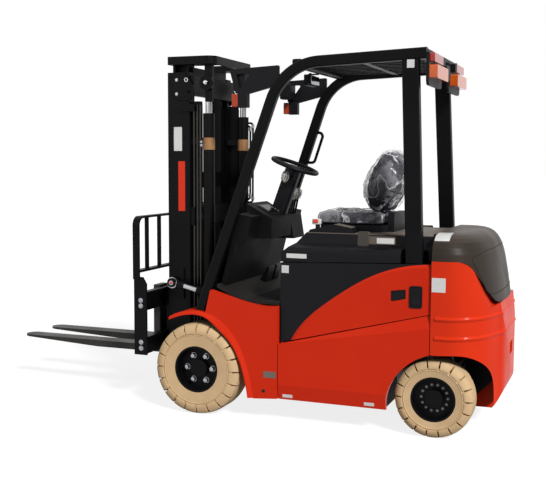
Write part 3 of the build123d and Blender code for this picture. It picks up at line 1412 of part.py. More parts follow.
# Centre cylinder for free lift, standing in the inner mast
with BuildPart() as free_lift_barrel:
    with BuildSketch(Plane.XY.offset(INNER_BOTTOM_Z + 20)):
        with Locations((FREE_X, 0)):
            Circle(FREE_RADIUS)
    extrude(amount=FREE_TOP_Z - INNER_BOTTOM_Z - 20)
    with BuildSketch(Plane.XY.offset(INNER_BOTTOM_Z + 20)):
        with Locations(((FREE_FOOT_BACK + FREE_X) / 2, 0)):
            Rectangle(FREE_X - FREE_FOOT_BACK, 2 * FREE_RADIUS - 4)
    extrude(amount=110)
    with BuildSketch(Plane.XY.offset(INNER_BOTTOM_Z + 40)):
        with Locations((FREE_X, 0)):
            Circle(FREE_ROD_RADIUS + RUN_GAP)
    extrude(amount=FREE_TOP_Z - INNER_BOTTOM_Z, mode=Mode.SUBTRACT)
free_lift_barrel.part.label = "free_lift_barrel"
export_step(free_lift_barrel.part, "parts/free_lift_barrel.step")

# Rod of the centre cylinder with its crosshead and chain pulleys
with BuildPart() as free_lift_rod:
    with BuildSketch(Plane.XY.offset(FREE_ROD_LOW)):
        with Locations((FREE_X, 0)):
            Circle(FREE_ROD_RADIUS)
    extrude(amount=HEAD_Z - FREE_ROD_LOW)
    with BuildSketch(Plane.XY.offset(HEAD_Z - 30)):
        with Locations((FREE_X, 0)):
            Rectangle(50, 60)
    extrude(amount=90)
    with BuildSketch(Plane.XZ.offset(-CHAIN_Y - 22)):
        with Locations((FREE_X, HEAD_Z + 20)):
            Circle(12)
    extrude(amount=2 * CHAIN_Y + 44)
    for side in (1, -1):
        with BuildSketch(Plane.XZ.offset(-side * CHAIN_Y - 14)):
            with Locations((FREE_X, HEAD_Z + 20)):
                Circle(PULLEY_RADIUS)
        extrude(amount=28)
free_lift_rod.part.label = "free_lift_rod"
export_step(free_lift_rod.part, "parts/free_lift_rod.step")

# Lift chains over the pulleys
with BuildPart() as lift_chains:
    for side in (1, -1):
        with BuildSketch(Plane.XZ.offset(-side * CHAIN_Y - 10)):
            with Locations((FREE_X, HEAD_Z + 20)):
                Circle(PULLEY_RADIUS + CHAIN_THICK)
                Circle(PULLEY_RADIUS, mode=Mode.SUBTRACT)
                with Locations((0, -PULLEY_RADIUS)):
                    Rectangle(3 * PULLEY_RADIUS, 2 * PULLEY_RADIUS, mode=Mode.SUBTRACT)
            for strand, low in ((1, CHAIN_LOW), (-1, CHAIN_BACK_LOW)):
                strand_x = FREE_X + strand * (PULLEY_RADIUS + CHAIN_THICK / 2)
                with Locations((strand_x, (HEAD_Z + 21 + low) / 2)):
                    Rectangle(CHAIN_THICK, HEAD_Z + 21 - low)
            for link in range(int((HEAD_Z - CHAIN_LOW) / CHAIN_PITCH)):
                with Locations((FREE_X + PULLEY_RADIUS + CHAIN_THICK, CHAIN_LOW + 20 + link * CHAIN_PITCH)):
                    Rectangle(CHAIN_NOTCH, CHAIN_NOTCH, mode=Mode.SUBTRACT)
        extrude(amount=20)
lift_chains.part.label = "lift_chains"
export_step(lift_chains.part, "parts/lift_chains.step")

# Fork carriage: side plates with rollers, two fork bars, top shaft
with BuildPart() as carriage:
    for side in (1, -1):
        with BuildSketch(Plane.XZ.offset(-side * 185 - 15)):
            with BuildLine():
                Polyline(
                    (BAR_BACK + 2, LOWER_BAR_BOTTOM + 10),
                    (BAR_BACK + 2, UPPER_BAR_TOP),
                    (INNER_X + 60, UPPER_BAR_TOP + 60),
                    (INNER_X - 40, UPPER_BAR_TOP + 60),
                    (INNER_X - 40, LOWER_BAR_BOTTOM + 10),
                    close=True,
                )
            make_face()
        extrude(amount=30)
        for roller in (LOWER_BAR_BOTTOM + 60, UPPER_BAR_TOP + 10):
            with BuildSketch(Plane.XZ.offset(-side * 220 - 21)):
                with Locations((INNER_X, roller)):
                    Circle(INNER_DEPTH / 2 - INNER_WEB - RUN_GAP)
            extrude(amount=42)
    for low, high in ((LOWER_BAR_BOTTOM, LOWER_BAR_HIGH), (UPPER_BAR_TOP - UPPER_BAR_HIGH, UPPER_BAR_HIGH)):
        with BuildSketch(Plane.XY.offset(low)):
            with Locations((BAR_BACK + BAR_THICK / 2, 0)):
                Rectangle(BAR_THICK, 2 * CARRIAGE_Y)
        extrude(amount=high)
carriage.part.label = "carriage"
export_step(carriage.part, "parts/carriage.step")

# Load backrest bolted to the carriage ends
with BuildPart() as backrest:
    with BuildSketch(Plane.YZ.offset(FORK_FACE - BACKREST_DEEP)):
        with BuildLine():
            FilletPolyline(
                (BACKREST_Y, BACKREST_LOW_Z),
                (BACKREST_Y, BACKREST_TOP_Z),
                (-BACKREST_Y, BACKREST_TOP_Z),
                (-BACKREST_Y, BACKREST_LOW_Z),
                radius=60,
            )
            Line((-BACKREST_Y, BACKREST_LOW_Z), (BACKREST_BAR - BACKREST_Y, BACKREST_LOW_Z))
            FilletPolyline(
                (BACKREST_BAR - BACKREST_Y, BACKREST_LOW_Z),
                (BACKREST_BAR - BACKREST_Y, BACKREST_TOP_Z - BACKREST_BAR),
                (BACKREST_Y - BACKREST_BAR, BACKREST_TOP_Z - BACKREST_BAR),
                (BACKREST_Y - BACKREST_BAR, BACKREST_LOW_Z),
                radius=46,
            )
            Line((BACKREST_Y - BACKREST_BAR, BACKREST_LOW_Z), (BACKREST_Y, BACKREST_LOW_Z))
        make_face()
        with Locations((0, BACKREST_SILL_Z + 8)):
            Rectangle(2 * BACKREST_Y - 10, 16)
    extrude(amount=BACKREST_DEEP)
    with BuildSketch(Plane.YZ.offset(FORK_FACE - 26)):
        for bar in range(BACKREST_BARS):
            bar_y = (bar - (BACKREST_BARS - 1) / 2) * BACKREST_PITCH
            with Locations((bar_y, (BACKREST_SILL_Z + BACKREST_TOP_Z) / 2)):
                Rectangle(34, BACKREST_TOP_Z - BACKREST_SILL_Z - 10)
    extrude(amount=14)
    for side in (1, -1):
        with BuildSketch(Plane.XZ.offset(-side * (CARRIAGE_Y + 7) - 7)):
            with BuildLine():
                Polyline(
                    (FORK_FACE - 93, 332),
                    (FORK_FACE - 2, 332),
                    (FORK_FACE - 2, 845),
                    (FORK_FACE - 66, 845),
                    (FORK_FACE - 93, 800),
                    close=True,
                )
            make_face()
        extrude(amount=14)
backrest.part.label = "backrest"
export_step(backrest.part, "parts/backrest.step")

# Forks hooked on the carriage bars
with BuildPart() as forks:
    for side in (1, -1):
        with BuildSketch(Plane.XZ.offset(-side * FORK_Y - FORK_WIDTH / 2)):
            with BuildLine():
                Polyline(
                    (FORK_FACE - FORK_THICK, UPPER_BAR_TOP + 14),
                    (FORK_FACE - FORK_THICK, FORK_TOP_Z - FORK_THICK),
                    (FORK_FACE + 0.42 * FORK_LENGTH, FORK_TOP_Z - FORK_THICK),
                    (FORK_FACE + FORK_LENGTH, FORK_TOP_Z - FORK_TIP_THICK),
                    (FORK_FACE + FORK_LENGTH, FORK_TOP_Z),
                    (FORK_FACE, FORK_TOP_Z),
                    (FORK_FACE, UPPER_BAR_TOP + 14),
                    close=True,
                )
            make_face()
        extrude(amount=FORK_WIDTH)
    with BuildSketch(Plane.XY.offset(FORK_TOP_Z - FORK_THICK - 5)):
        for side in (1, -1):
            with Locations((FORK_FACE + FORK_LENGTH - 20, side * FORK_Y)):
                Rectangle(100, FORK_WIDTH + 20)
            with Locations((FORK_FACE + FORK_LENGTH - FORK_WIDTH / 2, side * FORK_Y)):
                Circle(FORK_WIDTH / 2, mode=Mode.SUBTRACT)
    extrude(amount=FORK_THICK + 10, mode=Mode.SUBTRACT)
forks.part.label = "forks"
export_step(forks.part, "parts/forks.step")

# Tilt cylinders, each a barrel on the frame and a rod on the mast
for side, name in ((1, "left"), (-1, "right")):
    tilt_line = Plane(
        (TILT_FOOT_X, side * TILT_Y, TILT_FOOT_Z),
        x_dir=(0, 1, 0),
        z_dir=(TILT_PIN_X - TILT_FOOT_X, 0, TILT_PIN_Z - TILT_FOOT_Z),
    )
    with BuildPart() as tilt_barrel:
        with BuildSketch(tilt_line.offset(30)):
            Circle(TILT_BARREL_RADIUS)
        extrude(amount=TILT_BARREL_LENGTH - 30)
        with BuildSketch(tilt_line.offset(60)):
            Circle(TILT_ROD_RADIUS + RUN_GAP)
        extrude(amount=TILT_BARREL_LENGTH, mode=Mode.SUBTRACT)
        with BuildSketch(Plane.XZ.offset(-side * TILT_Y - 13)):
            with Locations((TILT_FOOT_X, TILT_FOOT_Z)):
                Circle(32)
                Circle(14 + RUN_GAP, mode=Mode.SUBTRACT)
        extrude(amount=26)
    tilt_barrel.part.label = "tilt_barrel_" + name
    export_step(tilt_barrel.part, "parts/tilt_barrel_" + name + ".step")
    with BuildPart() as tilt_rod:
        with BuildSketch(tilt_line.offset(TILT_ROD_LOW)):
            Circle(TILT_ROD_RADIUS)
        extrude(amount=TILT_ROD_LENGTH)
        with BuildSketch(Plane.XZ.offset(-side * TILT_Y - 13)):
            with Locations((TILT_PIN_X, TILT_PIN_Z)):
                Circle(36)
                Circle(19, mode=Mode.SUBTRACT)
        extrude(amount=26)
    tilt_rod.part.label = "tilt_rod_" + name
    export_step(tilt_rod.part, "parts/tilt_rod_" + name + ".step")
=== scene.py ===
"""Dresses the forklift truck: finishes, tail cover, seat and its film, fasteners, lamps, plates and mat."""

from __future__ import annotations

import json
import logging
import math
from collections.abc import Sequence
from dataclasses import dataclass, field
from enum import Enum

import bmesh
import bpy
import numpy as np
from bpy.types import ID, Material, Mesh, Node, NodeSocket, NodeTree, Object
from mathutils import Matrix, Vector

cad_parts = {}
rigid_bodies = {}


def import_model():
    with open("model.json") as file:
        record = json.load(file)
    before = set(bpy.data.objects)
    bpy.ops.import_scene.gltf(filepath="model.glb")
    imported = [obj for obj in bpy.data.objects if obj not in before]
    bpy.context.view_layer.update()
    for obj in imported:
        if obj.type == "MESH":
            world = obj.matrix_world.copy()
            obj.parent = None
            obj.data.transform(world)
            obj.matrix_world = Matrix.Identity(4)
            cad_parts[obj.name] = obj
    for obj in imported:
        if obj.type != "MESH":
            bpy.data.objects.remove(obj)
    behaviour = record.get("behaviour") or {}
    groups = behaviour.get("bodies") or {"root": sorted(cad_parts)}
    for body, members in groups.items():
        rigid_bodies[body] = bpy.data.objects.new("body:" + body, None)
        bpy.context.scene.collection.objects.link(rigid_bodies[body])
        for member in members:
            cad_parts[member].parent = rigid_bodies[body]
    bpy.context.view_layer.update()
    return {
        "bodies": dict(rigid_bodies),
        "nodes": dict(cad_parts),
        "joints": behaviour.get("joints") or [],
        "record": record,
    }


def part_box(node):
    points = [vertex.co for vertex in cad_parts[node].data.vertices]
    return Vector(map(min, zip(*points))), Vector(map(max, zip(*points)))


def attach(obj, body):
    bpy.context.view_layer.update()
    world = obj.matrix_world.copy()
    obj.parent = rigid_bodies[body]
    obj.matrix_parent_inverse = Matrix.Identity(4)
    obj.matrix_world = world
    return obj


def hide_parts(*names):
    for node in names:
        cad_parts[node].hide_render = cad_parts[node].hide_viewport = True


LOG = logging.getLogger("forklift")
MM = 0.001
PHOTO_WIDTH = 546
REAR_AXLE_X = -1342.5
DRIVE_AXLE_X = 152.5
STEER_RADIUS = 231.0

Triple = tuple[float, float, float]
# Sockets of a colour mix node, by index, because their names repeat
MIX_FIRST, MIX_SECOND, MIX_RESULT = 6, 7, 2


class Side(Enum):
    """The truck's two sides, by the sign of Y."""

    LEFT = 1
    RIGHT = -1


def linear(code: str) -> tuple[float, float, float, float]:
    """Turns an sRGB hex colour to linear light.

    Args:
        code: six hex digits, such as "C23018".

    Returns:
        Red, green, blue and an alpha of 1.
    """
    parts = [int(code[i : i + 2], 16) / 255 for i in (0, 2, 4)]
    light = [c / 12.92 if c <= 0.04045 else ((c + 0.055) / 1.055) ** 2.4 for c in parts]
    return (*light, 1.0)


def add_node(tree: NodeTree, kind: str, inputs: dict | None = None, **settings) -> Node:
    """Adds one shader node, sets its values and links its inputs.

    Args:
        tree: the material's node tree.
        kind: the node's type name.
        inputs: socket name or index to a value, or to an output socket to link.
        settings: attributes of the node itself.

    Returns:
        The new node.
    """
    node = tree.nodes.new(kind)
    for key, value in settings.items():
        setattr(node, key, value)
    for key, value in (inputs or {}).items():
        socket = node.inputs[key]
        if isinstance(value, NodeSocket):
            tree.links.new(value, socket)
        else:
            socket.default_value = value
    return node


def start_material(name: str) -> tuple[Material, NodeTree]:
    """Makes a material with an empty node tree.

    Args:
        name: the material's name.

    Returns:
        The material and its tree.
    """
    material = bpy.data.materials.new(name)
    material.use_nodes = True
    material.node_tree.nodes.clear()
    return material, material.node_tree


def link(name: str, data: ID) -> Object:
    """Puts a new object into the scene.

    Args:
        name: the object's name.
        data: its mesh, light or camera.

    Returns:
        The object.
    """
    made = bpy.data.objects.new(name, data)
    bpy.context.scene.collection.objects.link(made)
    return made


@dataclass(frozen=True)
class Finish:
    """A surface finish: base colour, a second tone, and the grain that breaks them up.

    Attributes:
        name: the real material and how its surface was made.
        colour: sRGB hex of the clean surface.
        shade: sRGB hex that the patchy tone goes to.
        roughness: mean roughness.
        spread: how far the roughness swings either way.
        metallic: 1 for bare metal.
        patch_mm: size of the patches of tone.
        grain_mm: size of the relief's grain.
        relief_mm: height of the relief.
        specular: level of the plain reflection, 0.5 for a clean dielectric.
        coat: weight of a clear coat.
        ior: index of refraction.
        dust: sRGB hex of the paler tone on upward faces, partly dusty and partly a painted sheen, laid on by
            the piece's own attribute of that name, or nothing.
    """

    name: str
    colour: str
    shade: str
    roughness: float = 0.4
    spread: float = 0.06
    metallic: float = 0.0
    patch_mm: float = 220.0
    grain_mm: float = 3.0
    relief_mm: float = 0.02
    specular: float = 0.5
    coat: float = 0.0
    ior: float = 1.5
    dust: str = ""

    def build(self) -> Material:
        """Makes the material once and returns it on later calls.

        Returns:
            The material.
        """
        made = bpy.data.materials.get(self.name)
        if made:
            return made
        material, tree = start_material(self.name)
        place = add_node(tree, "ShaderNodeTexCoord").outputs["Object"]
        patch = add_node(tree, "ShaderNodeTexNoise", {
            "Vector": place, "Scale": 1 / (self.patch_mm * MM), "Detail": 5.0}).outputs["Fac"]
        grain = add_node(tree, "ShaderNodeTexNoise", {
            "Vector": place, "Scale": 1 / (self.grain_mm * MM), "Detail": 3.0}).outputs["Fac"]
        tone = add_node(tree, "ShaderNodeMix", {
            "Factor": patch, MIX_FIRST: linear(self.colour), MIX_SECOND: linear(self.shade)},
            data_type="RGBA").outputs[MIX_RESULT]
        # Upward faces go to a paler tone: partly dusty, partly a painted sheen of the light from above
        if self.dust:
            dusty_sheen_weight = add_node(tree, "ShaderNodeAttribute", attribute_name="dust").outputs["Fac"]
            tone = add_node(tree, "ShaderNodeMix", {
                "Factor": dusty_sheen_weight, MIX_FIRST: tone, MIX_SECOND: linear(self.dust)},
                data_type="RGBA").outputs[MIX_RESULT]
        rough = add_node(tree, "ShaderNodeMapRange", {
            "Value": patch, "From Min": 0.3, "From Max": 0.7,
            "To Min": self.roughness - self.spread, "To Max": self.roughness + self.spread})
        bump = add_node(tree, "ShaderNodeBump", {
            "Height": grain, "Strength": 0.6, "Distance": self.relief_mm * MM})
        shader = add_node(tree, "ShaderNodeBsdfPrincipled", {
            "Base Color": tone, "Roughness": rough.outputs["Result"], "Normal": bump.outputs["Normal"],
            "Metallic": self.metallic, "IOR": self.ior, "Specular IOR Level": self.specular,
            "Coat Weight": self.coat, "Coat Roughness": 0.08})
        add_node(tree, "ShaderNodeOutputMaterial", {"Surface": shader.outputs["BSDF"]})
        return material


@dataclass(frozen=True)
class FilmFinish:
    """Thin clear film: see-through cells, milky patches, and white lines along the creases, which are painted
    highlights.

    Attributes:
        name: the real material and how its surface was made.
        colour: sRGB hex of the milky patches.
        crease_highlight: sRGB hex of the lines along the creases, a painted highlight.
        cell_mm: spacing of the creases.
        width: half width of a crease line, as a share of the waves' height.
        alpha: opacity of the clear cells, the milky patches and the painted highlights along the creases.
        relief_mm: height of the small wrinkles.
    """

    name: str
    colour: str
    crease_highlight: str
    cell_mm: float
    width: float
    alpha: Triple
    relief_mm: float = 2.0

    def build(self) -> Material:
        """Makes the material once and returns it on later calls.

        Returns:
            The material.
        """
        made = bpy.data.materials.get(self.name)
        if made:
            return made
        material, tree = start_material(self.name)
        cell = self.cell_mm * MM
        place = add_node(tree, "ShaderNodeTexCoord").outputs["Object"]
        sway = add_node(tree, "ShaderNodeTexNoise", {"Vector": place, "Scale": 0.8 / cell, "Detail": 1.0})
        moved = add_node(tree, "ShaderNodeVectorMath", {
            0: sway.outputs["Color"], 1: (0.6 * cell,) * 3, 2: place}, operation="MULTIPLY_ADD")
        drawn = add_node(tree, "ShaderNodeVectorMath", {
            0: moved.outputs[0], 1: (1.0, 0.8, 0.5)}, operation="MULTIPLY").outputs[0]
        waves = add_node(tree, "ShaderNodeTexNoise", {"Vector": drawn, "Scale": 1.3 / cell, "Detail": 1.0})
        level = add_node(tree, "ShaderNodeMath", {0: waves.outputs["Fac"], 1: 0.5}, operation="SUBTRACT")
        apart = add_node(tree, "ShaderNodeMath", {0: level.outputs[0]}, operation="ABSOLUTE")
        # Thin lines at the noise's middle level: painted white highlights along the creases, more opaque
        # where the patches are
        line = add_node(tree, "ShaderNodeMapRange", {
            "Value": apart.outputs[0], "From Min": 0.0, "From Max": self.width,
            "To Min": 1.0, "To Max": 0.0}).outputs["Result"]
        patch = add_node(tree, "ShaderNodeTexNoise", {
            "Vector": drawn, "Scale": 1.1 / cell, "Detail": 3.0}).outputs["Fac"]
        milk = add_node(tree, "ShaderNodeMapRange", {
            "Value": patch, "From Min": 0.47, "From Max": 0.58,
            "To Min": self.alpha[0], "To Max": self.alpha[1]})
        broken = add_node(tree, "ShaderNodeMath", {0: line, 1: patch}, operation="MULTIPLY")
        white = add_node(tree, "ShaderNodeMath", {
            0: broken.outputs[0], 1: 1.7 * self.alpha[2]}, operation="MULTIPLY")
        clear = add_node(tree, "ShaderNodeMath", {
            0: milk.outputs["Result"], 1: white.outputs[0]}, operation="MAXIMUM", use_clamp=True)
        tone = add_node(tree, "ShaderNodeMix", {
            "Factor": line, MIX_FIRST: linear(self.colour), MIX_SECOND: linear(self.crease_highlight)},
            data_type="RGBA")
        bump = add_node(tree, "ShaderNodeBump", {
            "Height": patch, "Strength": 0.7, "Distance": self.relief_mm * MM})
        shader = add_node(tree, "ShaderNodeBsdfPrincipled", {
            "Base Color": tone.outputs[MIX_RESULT], "Roughness": 0.16, "Alpha": clear.outputs[0],
            "Normal": bump.outputs["Normal"], "IOR": 1.51})
        add_node(tree, "ShaderNodeOutputMaterial", {"Surface": shader.outputs["BSDF"]})
        return material


# Two-pack enamel sprayed on steel: orange-red, satin gloss, a faint orange-peel ripple
RED_ENAMEL = Finish("red_enamel_sprayed", "CB2C12", "C2280F", 0.36, 0.05, grain_mm=4.0, relief_mm=0.03,
                    specular=0.08, coat=0.03)
# The same enamel on a sand casting: softer ripple under the gloss; painted lighter than the panels for the
# brighter light on it
RED_CASTING_PAINTED_LIGHTER = Finish("red_enamel_on_casting", "D83618", "CC2F13", 0.36, 0.06, grain_mm=9.0, relief_mm=0.12,
                     specular=0.03, coat=0.05)
# Powder coat baked on steel: near black, satin, with a fine pebble
BLACK_POWDER = Finish("black_powder_coat_baked", "040405", "0D0D0F", 0.42, 0.06, grain_mm=1.6, relief_mm=0.02,
                      specular=0.08)
# The same coat on the fork arms, rubbed paler by pallets
FORK_STEEL = Finish("black_coat_rubbed", "161514", "322F2D", 0.46, 0.08, patch_mm=160.0, grain_mm=1.6,
                    relief_mm=0.03, specular=0.2)
# Polypropylene moulded in a grained tool: warm dark grey with a dusty sheen, leather grain
GREY_MOULDED = Finish("dark_polypropylene_moulded", "332E2A", "29251F", 0.44, 0.07, grain_mm=2.2,
                      relief_mm=0.05, specular=0.4)
# The tail cover's moulding, glossier at the bends; its top painted paler, partly dusty and partly a painted
# sheen of the light from above
COVER_MOULDED = Finish("tail_polypropylene_moulded", "352E28", "2B2520", 0.44, 0.06, grain_mm=2.2,
                       relief_mm=0.04, specular=0.1, dust="453C35")
# The same moulding on upward faces, painted paler: partly dusty, partly a painted sheen of the light from
# above
DUSTY_SHEEN_MOULDED = Finish("dusty_polypropylene_moulded", "655A51", "51483F", 0.55, 0.07, patch_mm=120.0,
                       grain_mm=2.2, relief_mm=0.05, specular=0.3)
# Harder moulding on the doors, hood and dash: black with a blue cast
BLACK_MOULDED = Finish("black_abs_moulded", "0D0D10", "131317", 0.46, 0.06, grain_mm=2.0, relief_mm=0.04,
                       specular=0.12)
# The cowl's inner moulding: deeper black, matt
COWL_MOULDED = Finish("black_polypropylene_moulded", "090909", "0E0E0F", 0.6, 0.06, grain_mm=2.0,
                      relief_mm=0.05, specular=0.08)
# Non-marking tyre compound, moulded: pale tan, dry and matt, dusty patches
TAN_RUBBER = Finish("tan_rubber_moulded", "D2B48C", "BD9F78", 0.84, 0.06, patch_mm=70.0, grain_mm=2.5,
                    relief_mm=0.12, specular=0.1)
# Hard chrome ground and polished on the rods
CHROME = Finish("hard_chrome_polished", "B9B9BC", "9C9CA2", 0.16, 0.05, 1.0, grain_mm=1.2, relief_mm=0.004)
# Zinc plate on nuts, bolts and washers: bluish silver, slightly dull
ZINC = Finish("steel_zinc_plated", "B4B4B8", "8C8C92", 0.3, 0.08, 1.0, patch_mm=12.0, grain_mm=1.5,
              relief_mm=0.01)
# Black oxide on the small rim bolts: dull dark steel
DULL_STEEL = Finish("steel_black_oxide", "77777B", "56565A", 0.45, 0.08, 0.8, patch_mm=10.0, grain_mm=1.5,
                    relief_mm=0.01)
# Drawn pipe with a baked black lacquer: glossier than the coat beside it
PIPE_STEEL = Finish("black_lacquer_on_pipe", "15130F", "1E1B17", 0.3, 0.06, patch_mm=90.0, grain_mm=2.0,
                    relief_mm=0.01, specular=0.4)
# Seat vinyl embossed with a fine grain: dark blue-black, dull sheen
SEAT_VINYL = Finish("seat_vinyl_embossed", "14161F", "1E212C", 0.5, 0.08, grain_mm=1.8, relief_mm=0.08,
                    specular=0.3)
# Polyethylene film off the roll: clear, greyish where it hangs double, with painted white highlights along
# the creases
FILM = FilmFinish("clear_film_blown", "8C8A90", "F2F3F6", 110.0, 0.03, (0.14, 0.68, 0.95))
# The same film in tight bunches on the lever knobs, with the same painted white highlights along the creases
FILM_BUNCH = FilmFinish("clear_film_bunched", "A59F98", "F0EFED", 24.0, 0.04, (0.3, 0.85, 0.95), 1.0)
# Acrylic lens, red, clear and glossy
RED_LENS = Finish("red_acrylic_moulded", "C02418", "8C1410", 0.14, 0.04, patch_mm=30.0, grain_mm=7.0,
                  relief_mm=0.8, coat=0.3, ior=1.49)
# Acrylic lens, amber
AMBER_LENS = Finish("amber_acrylic_moulded", "E06A1E", "B84412", 0.14, 0.04, patch_mm=36.0, grain_mm=7.0,
                    relief_mm=0.8, coat=0.3, ior=1.49)
# Acrylic turn lamp lens, red-orange, seen against its dark bowl
TURN_LENS = Finish("orange_acrylic_moulded", "B8401C", "8E2A12", 0.2, 0.04, patch_mm=30.0, grain_mm=7.0,
                   relief_mm=0.6, specular=0.3, ior=1.49)
# Polycarbonate head lamp lens over a bright reflector
CLEAR_LENS = Finish("clear_polycarbonate_lens", "AEB2B6", "8E9297", 0.1, 0.04, 0.4, patch_mm=20.0,
                    grain_mm=5.0, relief_mm=0.4, ior=1.58)
# Oiled leaf chain: dark steel with a dull sheen
OILED_STEEL = Finish("chain_steel_oiled", "3A3631", "24211E", 0.4, 0.1, 0.9, patch_mm=30.0, grain_mm=2.0,
                     relief_mm=0.02)
# Floor mat of nitrile rubber, pressed
MAT_RUBBER = Finish("black_rubber_pressed", "141312", "1C1A18", 0.7, 0.06, grain_mm=2.0, relief_mm=0.06,
                    specular=0.2)
# Vinyl film for plates, printed plain white
WHITE_PLATE = Finish("white_vinyl_plate", "D8D8D6", "C8C8C6", 0.45, 0.05, patch_mm=60.0, grain_mm=3.0,
                     relief_mm=0.01, specular=0.2)
# The same vinyl, plain red
RED_PLATE = Finish("red_vinyl_strip", "D83A22", "CC3420", 0.45, 0.05, patch_mm=60.0, grain_mm=3.0,
                   relief_mm=0.01, specular=0.1)
# Anodised plate, blank grey
GREY_PLATE = Finish("aluminium_plate_anodised", "6E645C", "5C544E", 0.4, 0.06, 0.5, patch_mm=40.0,
                    grain_mm=1.5, relief_mm=0.01)
# Phenolic paper band round the lift cylinders, tan
TAN_BAND = Finish("tan_paper_band", "9A6E42", "86603A", 0.6, 0.06, patch_mm=40.0, grain_mm=2.0,
                  relief_mm=0.03)
# Nylon moulding in signal red: belt buckle button and grease caps
SIGNAL_NYLON = Finish("red_nylon_moulded", "D8401E", "C63818", 0.4, 0.05, grain_mm=2.0, relief_mm=0.02)
# Glass over the instrument display: black and smooth
DISPLAY = Finish("display_glass_black", "07080A", "0B0C0F", 0.22, 0.04, patch_mm=80.0, grain_mm=10.0,
                 relief_mm=0.002, specular=0.15)
# Silvered mirror glass
MIRROR = Finish("mirror_glass_silvered", "9FA3A8", "93979C", 0.05, 0.02, 1.0, grain_mm=10.0, relief_mm=0.002)

NODE_FINISH: dict[Finish, tuple[str, ...]] = {
    RED_ENAMEL: ("front_fenders", "side_panels", "door_inlay_left", "door_inlay_right"),
    RED_CASTING_PAINTED_LIGHTER: ("counterweight",),
    BLACK_POWDER: (
        "frame", "guard_legs", "guard_posts", "guard_roof", "outer_mast", "inner_mast", "lift_cylinders",
        "free_lift_barrel", "carriage", "backrest", "tilt_barrel_left", "tilt_barrel_right", "drive_axle",
        "steer_axle", "knuckle_left", "knuckle_right", "front_rim_left", "front_rim_right",
        "rear_rim_left", "rear_rim_right", "grab_handle", "levers", "pedals", "battery"),
    FORK_STEEL: ("forks",),
    GREY_MOULDED: ("rear_cover",),
    BLACK_MOULDED: ("battery_hood", "side_door_left", "side_door_right", "seat_pan", "steering_column",
                    "steering_wheel", "headlamps", "tail_lamps", "mirror"),
    TAN_RUBBER: ("front_tyre_left", "front_tyre_right", "rear_tyre_left", "rear_tyre_right"),
    CHROME: ("lift_rods", "free_lift_rod", "tilt_rod_left", "tilt_rod_right"),
    SEAT_VINYL: ("seat_cushion", "seat_back"),
    RED_LENS: ("tail_lens_red",),
    AMBER_LENS: ("tail_lens_amber",),
    TURN_LENS: ("turn_lamps",),
    OILED_STEEL: ("lift_chains",),
    MAT_RUBBER: ("floor_plate",),
    COWL_MOULDED: ("front_cowl",),
}


def grid_faces(rows: int, cols: int, wrap_cols: bool) -> np.ndarray:
    """Quads of a grid of points, row by row.

    Args:
        rows: stations along the first parameter.
        cols: stations along the second parameter.
        wrap_cols: whether the last column meets the first.

    Returns:
        One row of four indices for each quad.
    """
    a, b = np.meshgrid(np.arange(rows - 1), np.arange(cols if wrap_cols else cols - 1), indexing="ij")
    c = (b + 1) % cols
    quads = [a * cols + b, (a + 1) * cols + b, (a + 1) * cols + c, a * cols + c]
    return np.stack(quads, axis=-1).reshape(-1, 4)


def axes_about(axis: Triple) -> tuple[np.ndarray, np.ndarray, np.ndarray]:
    """Finds two unit vectors square to an axis.

    Args:
        axis: a direction of any length.

    Returns:
        The two vectors, and the unit axis itself.
    """
    along = np.asarray(axis, float) / np.linalg.norm(axis)
    guide = np.array([0.0, 0.0, 1.0]) if abs(along[2]) < 0.9 else np.array([1.0, 0.0, 0.0])
    across = np.cross(guide, along)
    across /= np.linalg.norm(across)
    return across, np.cross(along, across), along


def lathe(profile: Sequence[tuple[float, float]], origin: Triple, axis: Triple,
          sides: int = 24) -> np.ndarray:
    """A profile turned about an axis: origin + height * axis + radius * (cos u, sin u) square to the axis.

    Args:
        profile: radius and height of each station, from pole to pole where the form is closed.
        origin: a point on the axis, in mm.
        axis: the axis' direction.
        sides: stations round the axis.

    Returns:
        A grid of points, stations by sides.
    """
    across, up, along = axes_about(axis)
    radius, height = np.asarray(profile, float).T
    turn = np.linspace(0, 2 * np.pi, sides, endpoint=False)
    ring = np.cos(turn)[:, None] * across + np.sin(turn)[:, None] * up
    return np.asarray(origin, float) + height[:, None, None] * along + radius[:, None, None] * ring[None]


def block(centre: Triple, half: Triple, square: float = 0.25,
          axis: Triple = (0, 0, 1), rows: int = 13, cols: int = 24) -> np.ndarray:
    """A rounded box as a superellipsoid: each sine and cosine of two angles is raised to a small power.

    Args:
        centre: its middle, in mm.
        half: half sizes across, up and along the axis.
        square: the power, from near 0 for a box to 1 for an ellipsoid.
        axis: the direction of the third half size.
        rows: stations from pole to pole.
        cols: stations round.

    Returns:
        A grid of points, rows by cols, with its poles at the two ends.
    """
    lift = np.linspace(-np.pi / 2, np.pi / 2, rows)[:, None]
    turn = np.linspace(0, 2 * np.pi, cols, endpoint=False)[None]

    def power(wave: np.ndarray) -> np.ndarray:
        """Raises a wave to the power, with its sign kept and its zeros exact.

        Args:
            wave: sines or cosines.

        Returns:
            The waves so raised.
        """
        return np.where(np.abs(wave) < 1e-9, 0.0, np.sign(wave) * np.abs(wave) ** square)

    across, up, along = axes_about(axis)
    x = half[0] * power(np.cos(lift)) * power(np.cos(turn))
    y = half[1] * power(np.cos(lift)) * power(np.sin(turn))
    z = half[2] * power(np.sin(lift)) * np.ones_like(turn)
    return np.asarray(centre, float) + x[..., None] * across + y[..., None] * up + z[..., None] * along


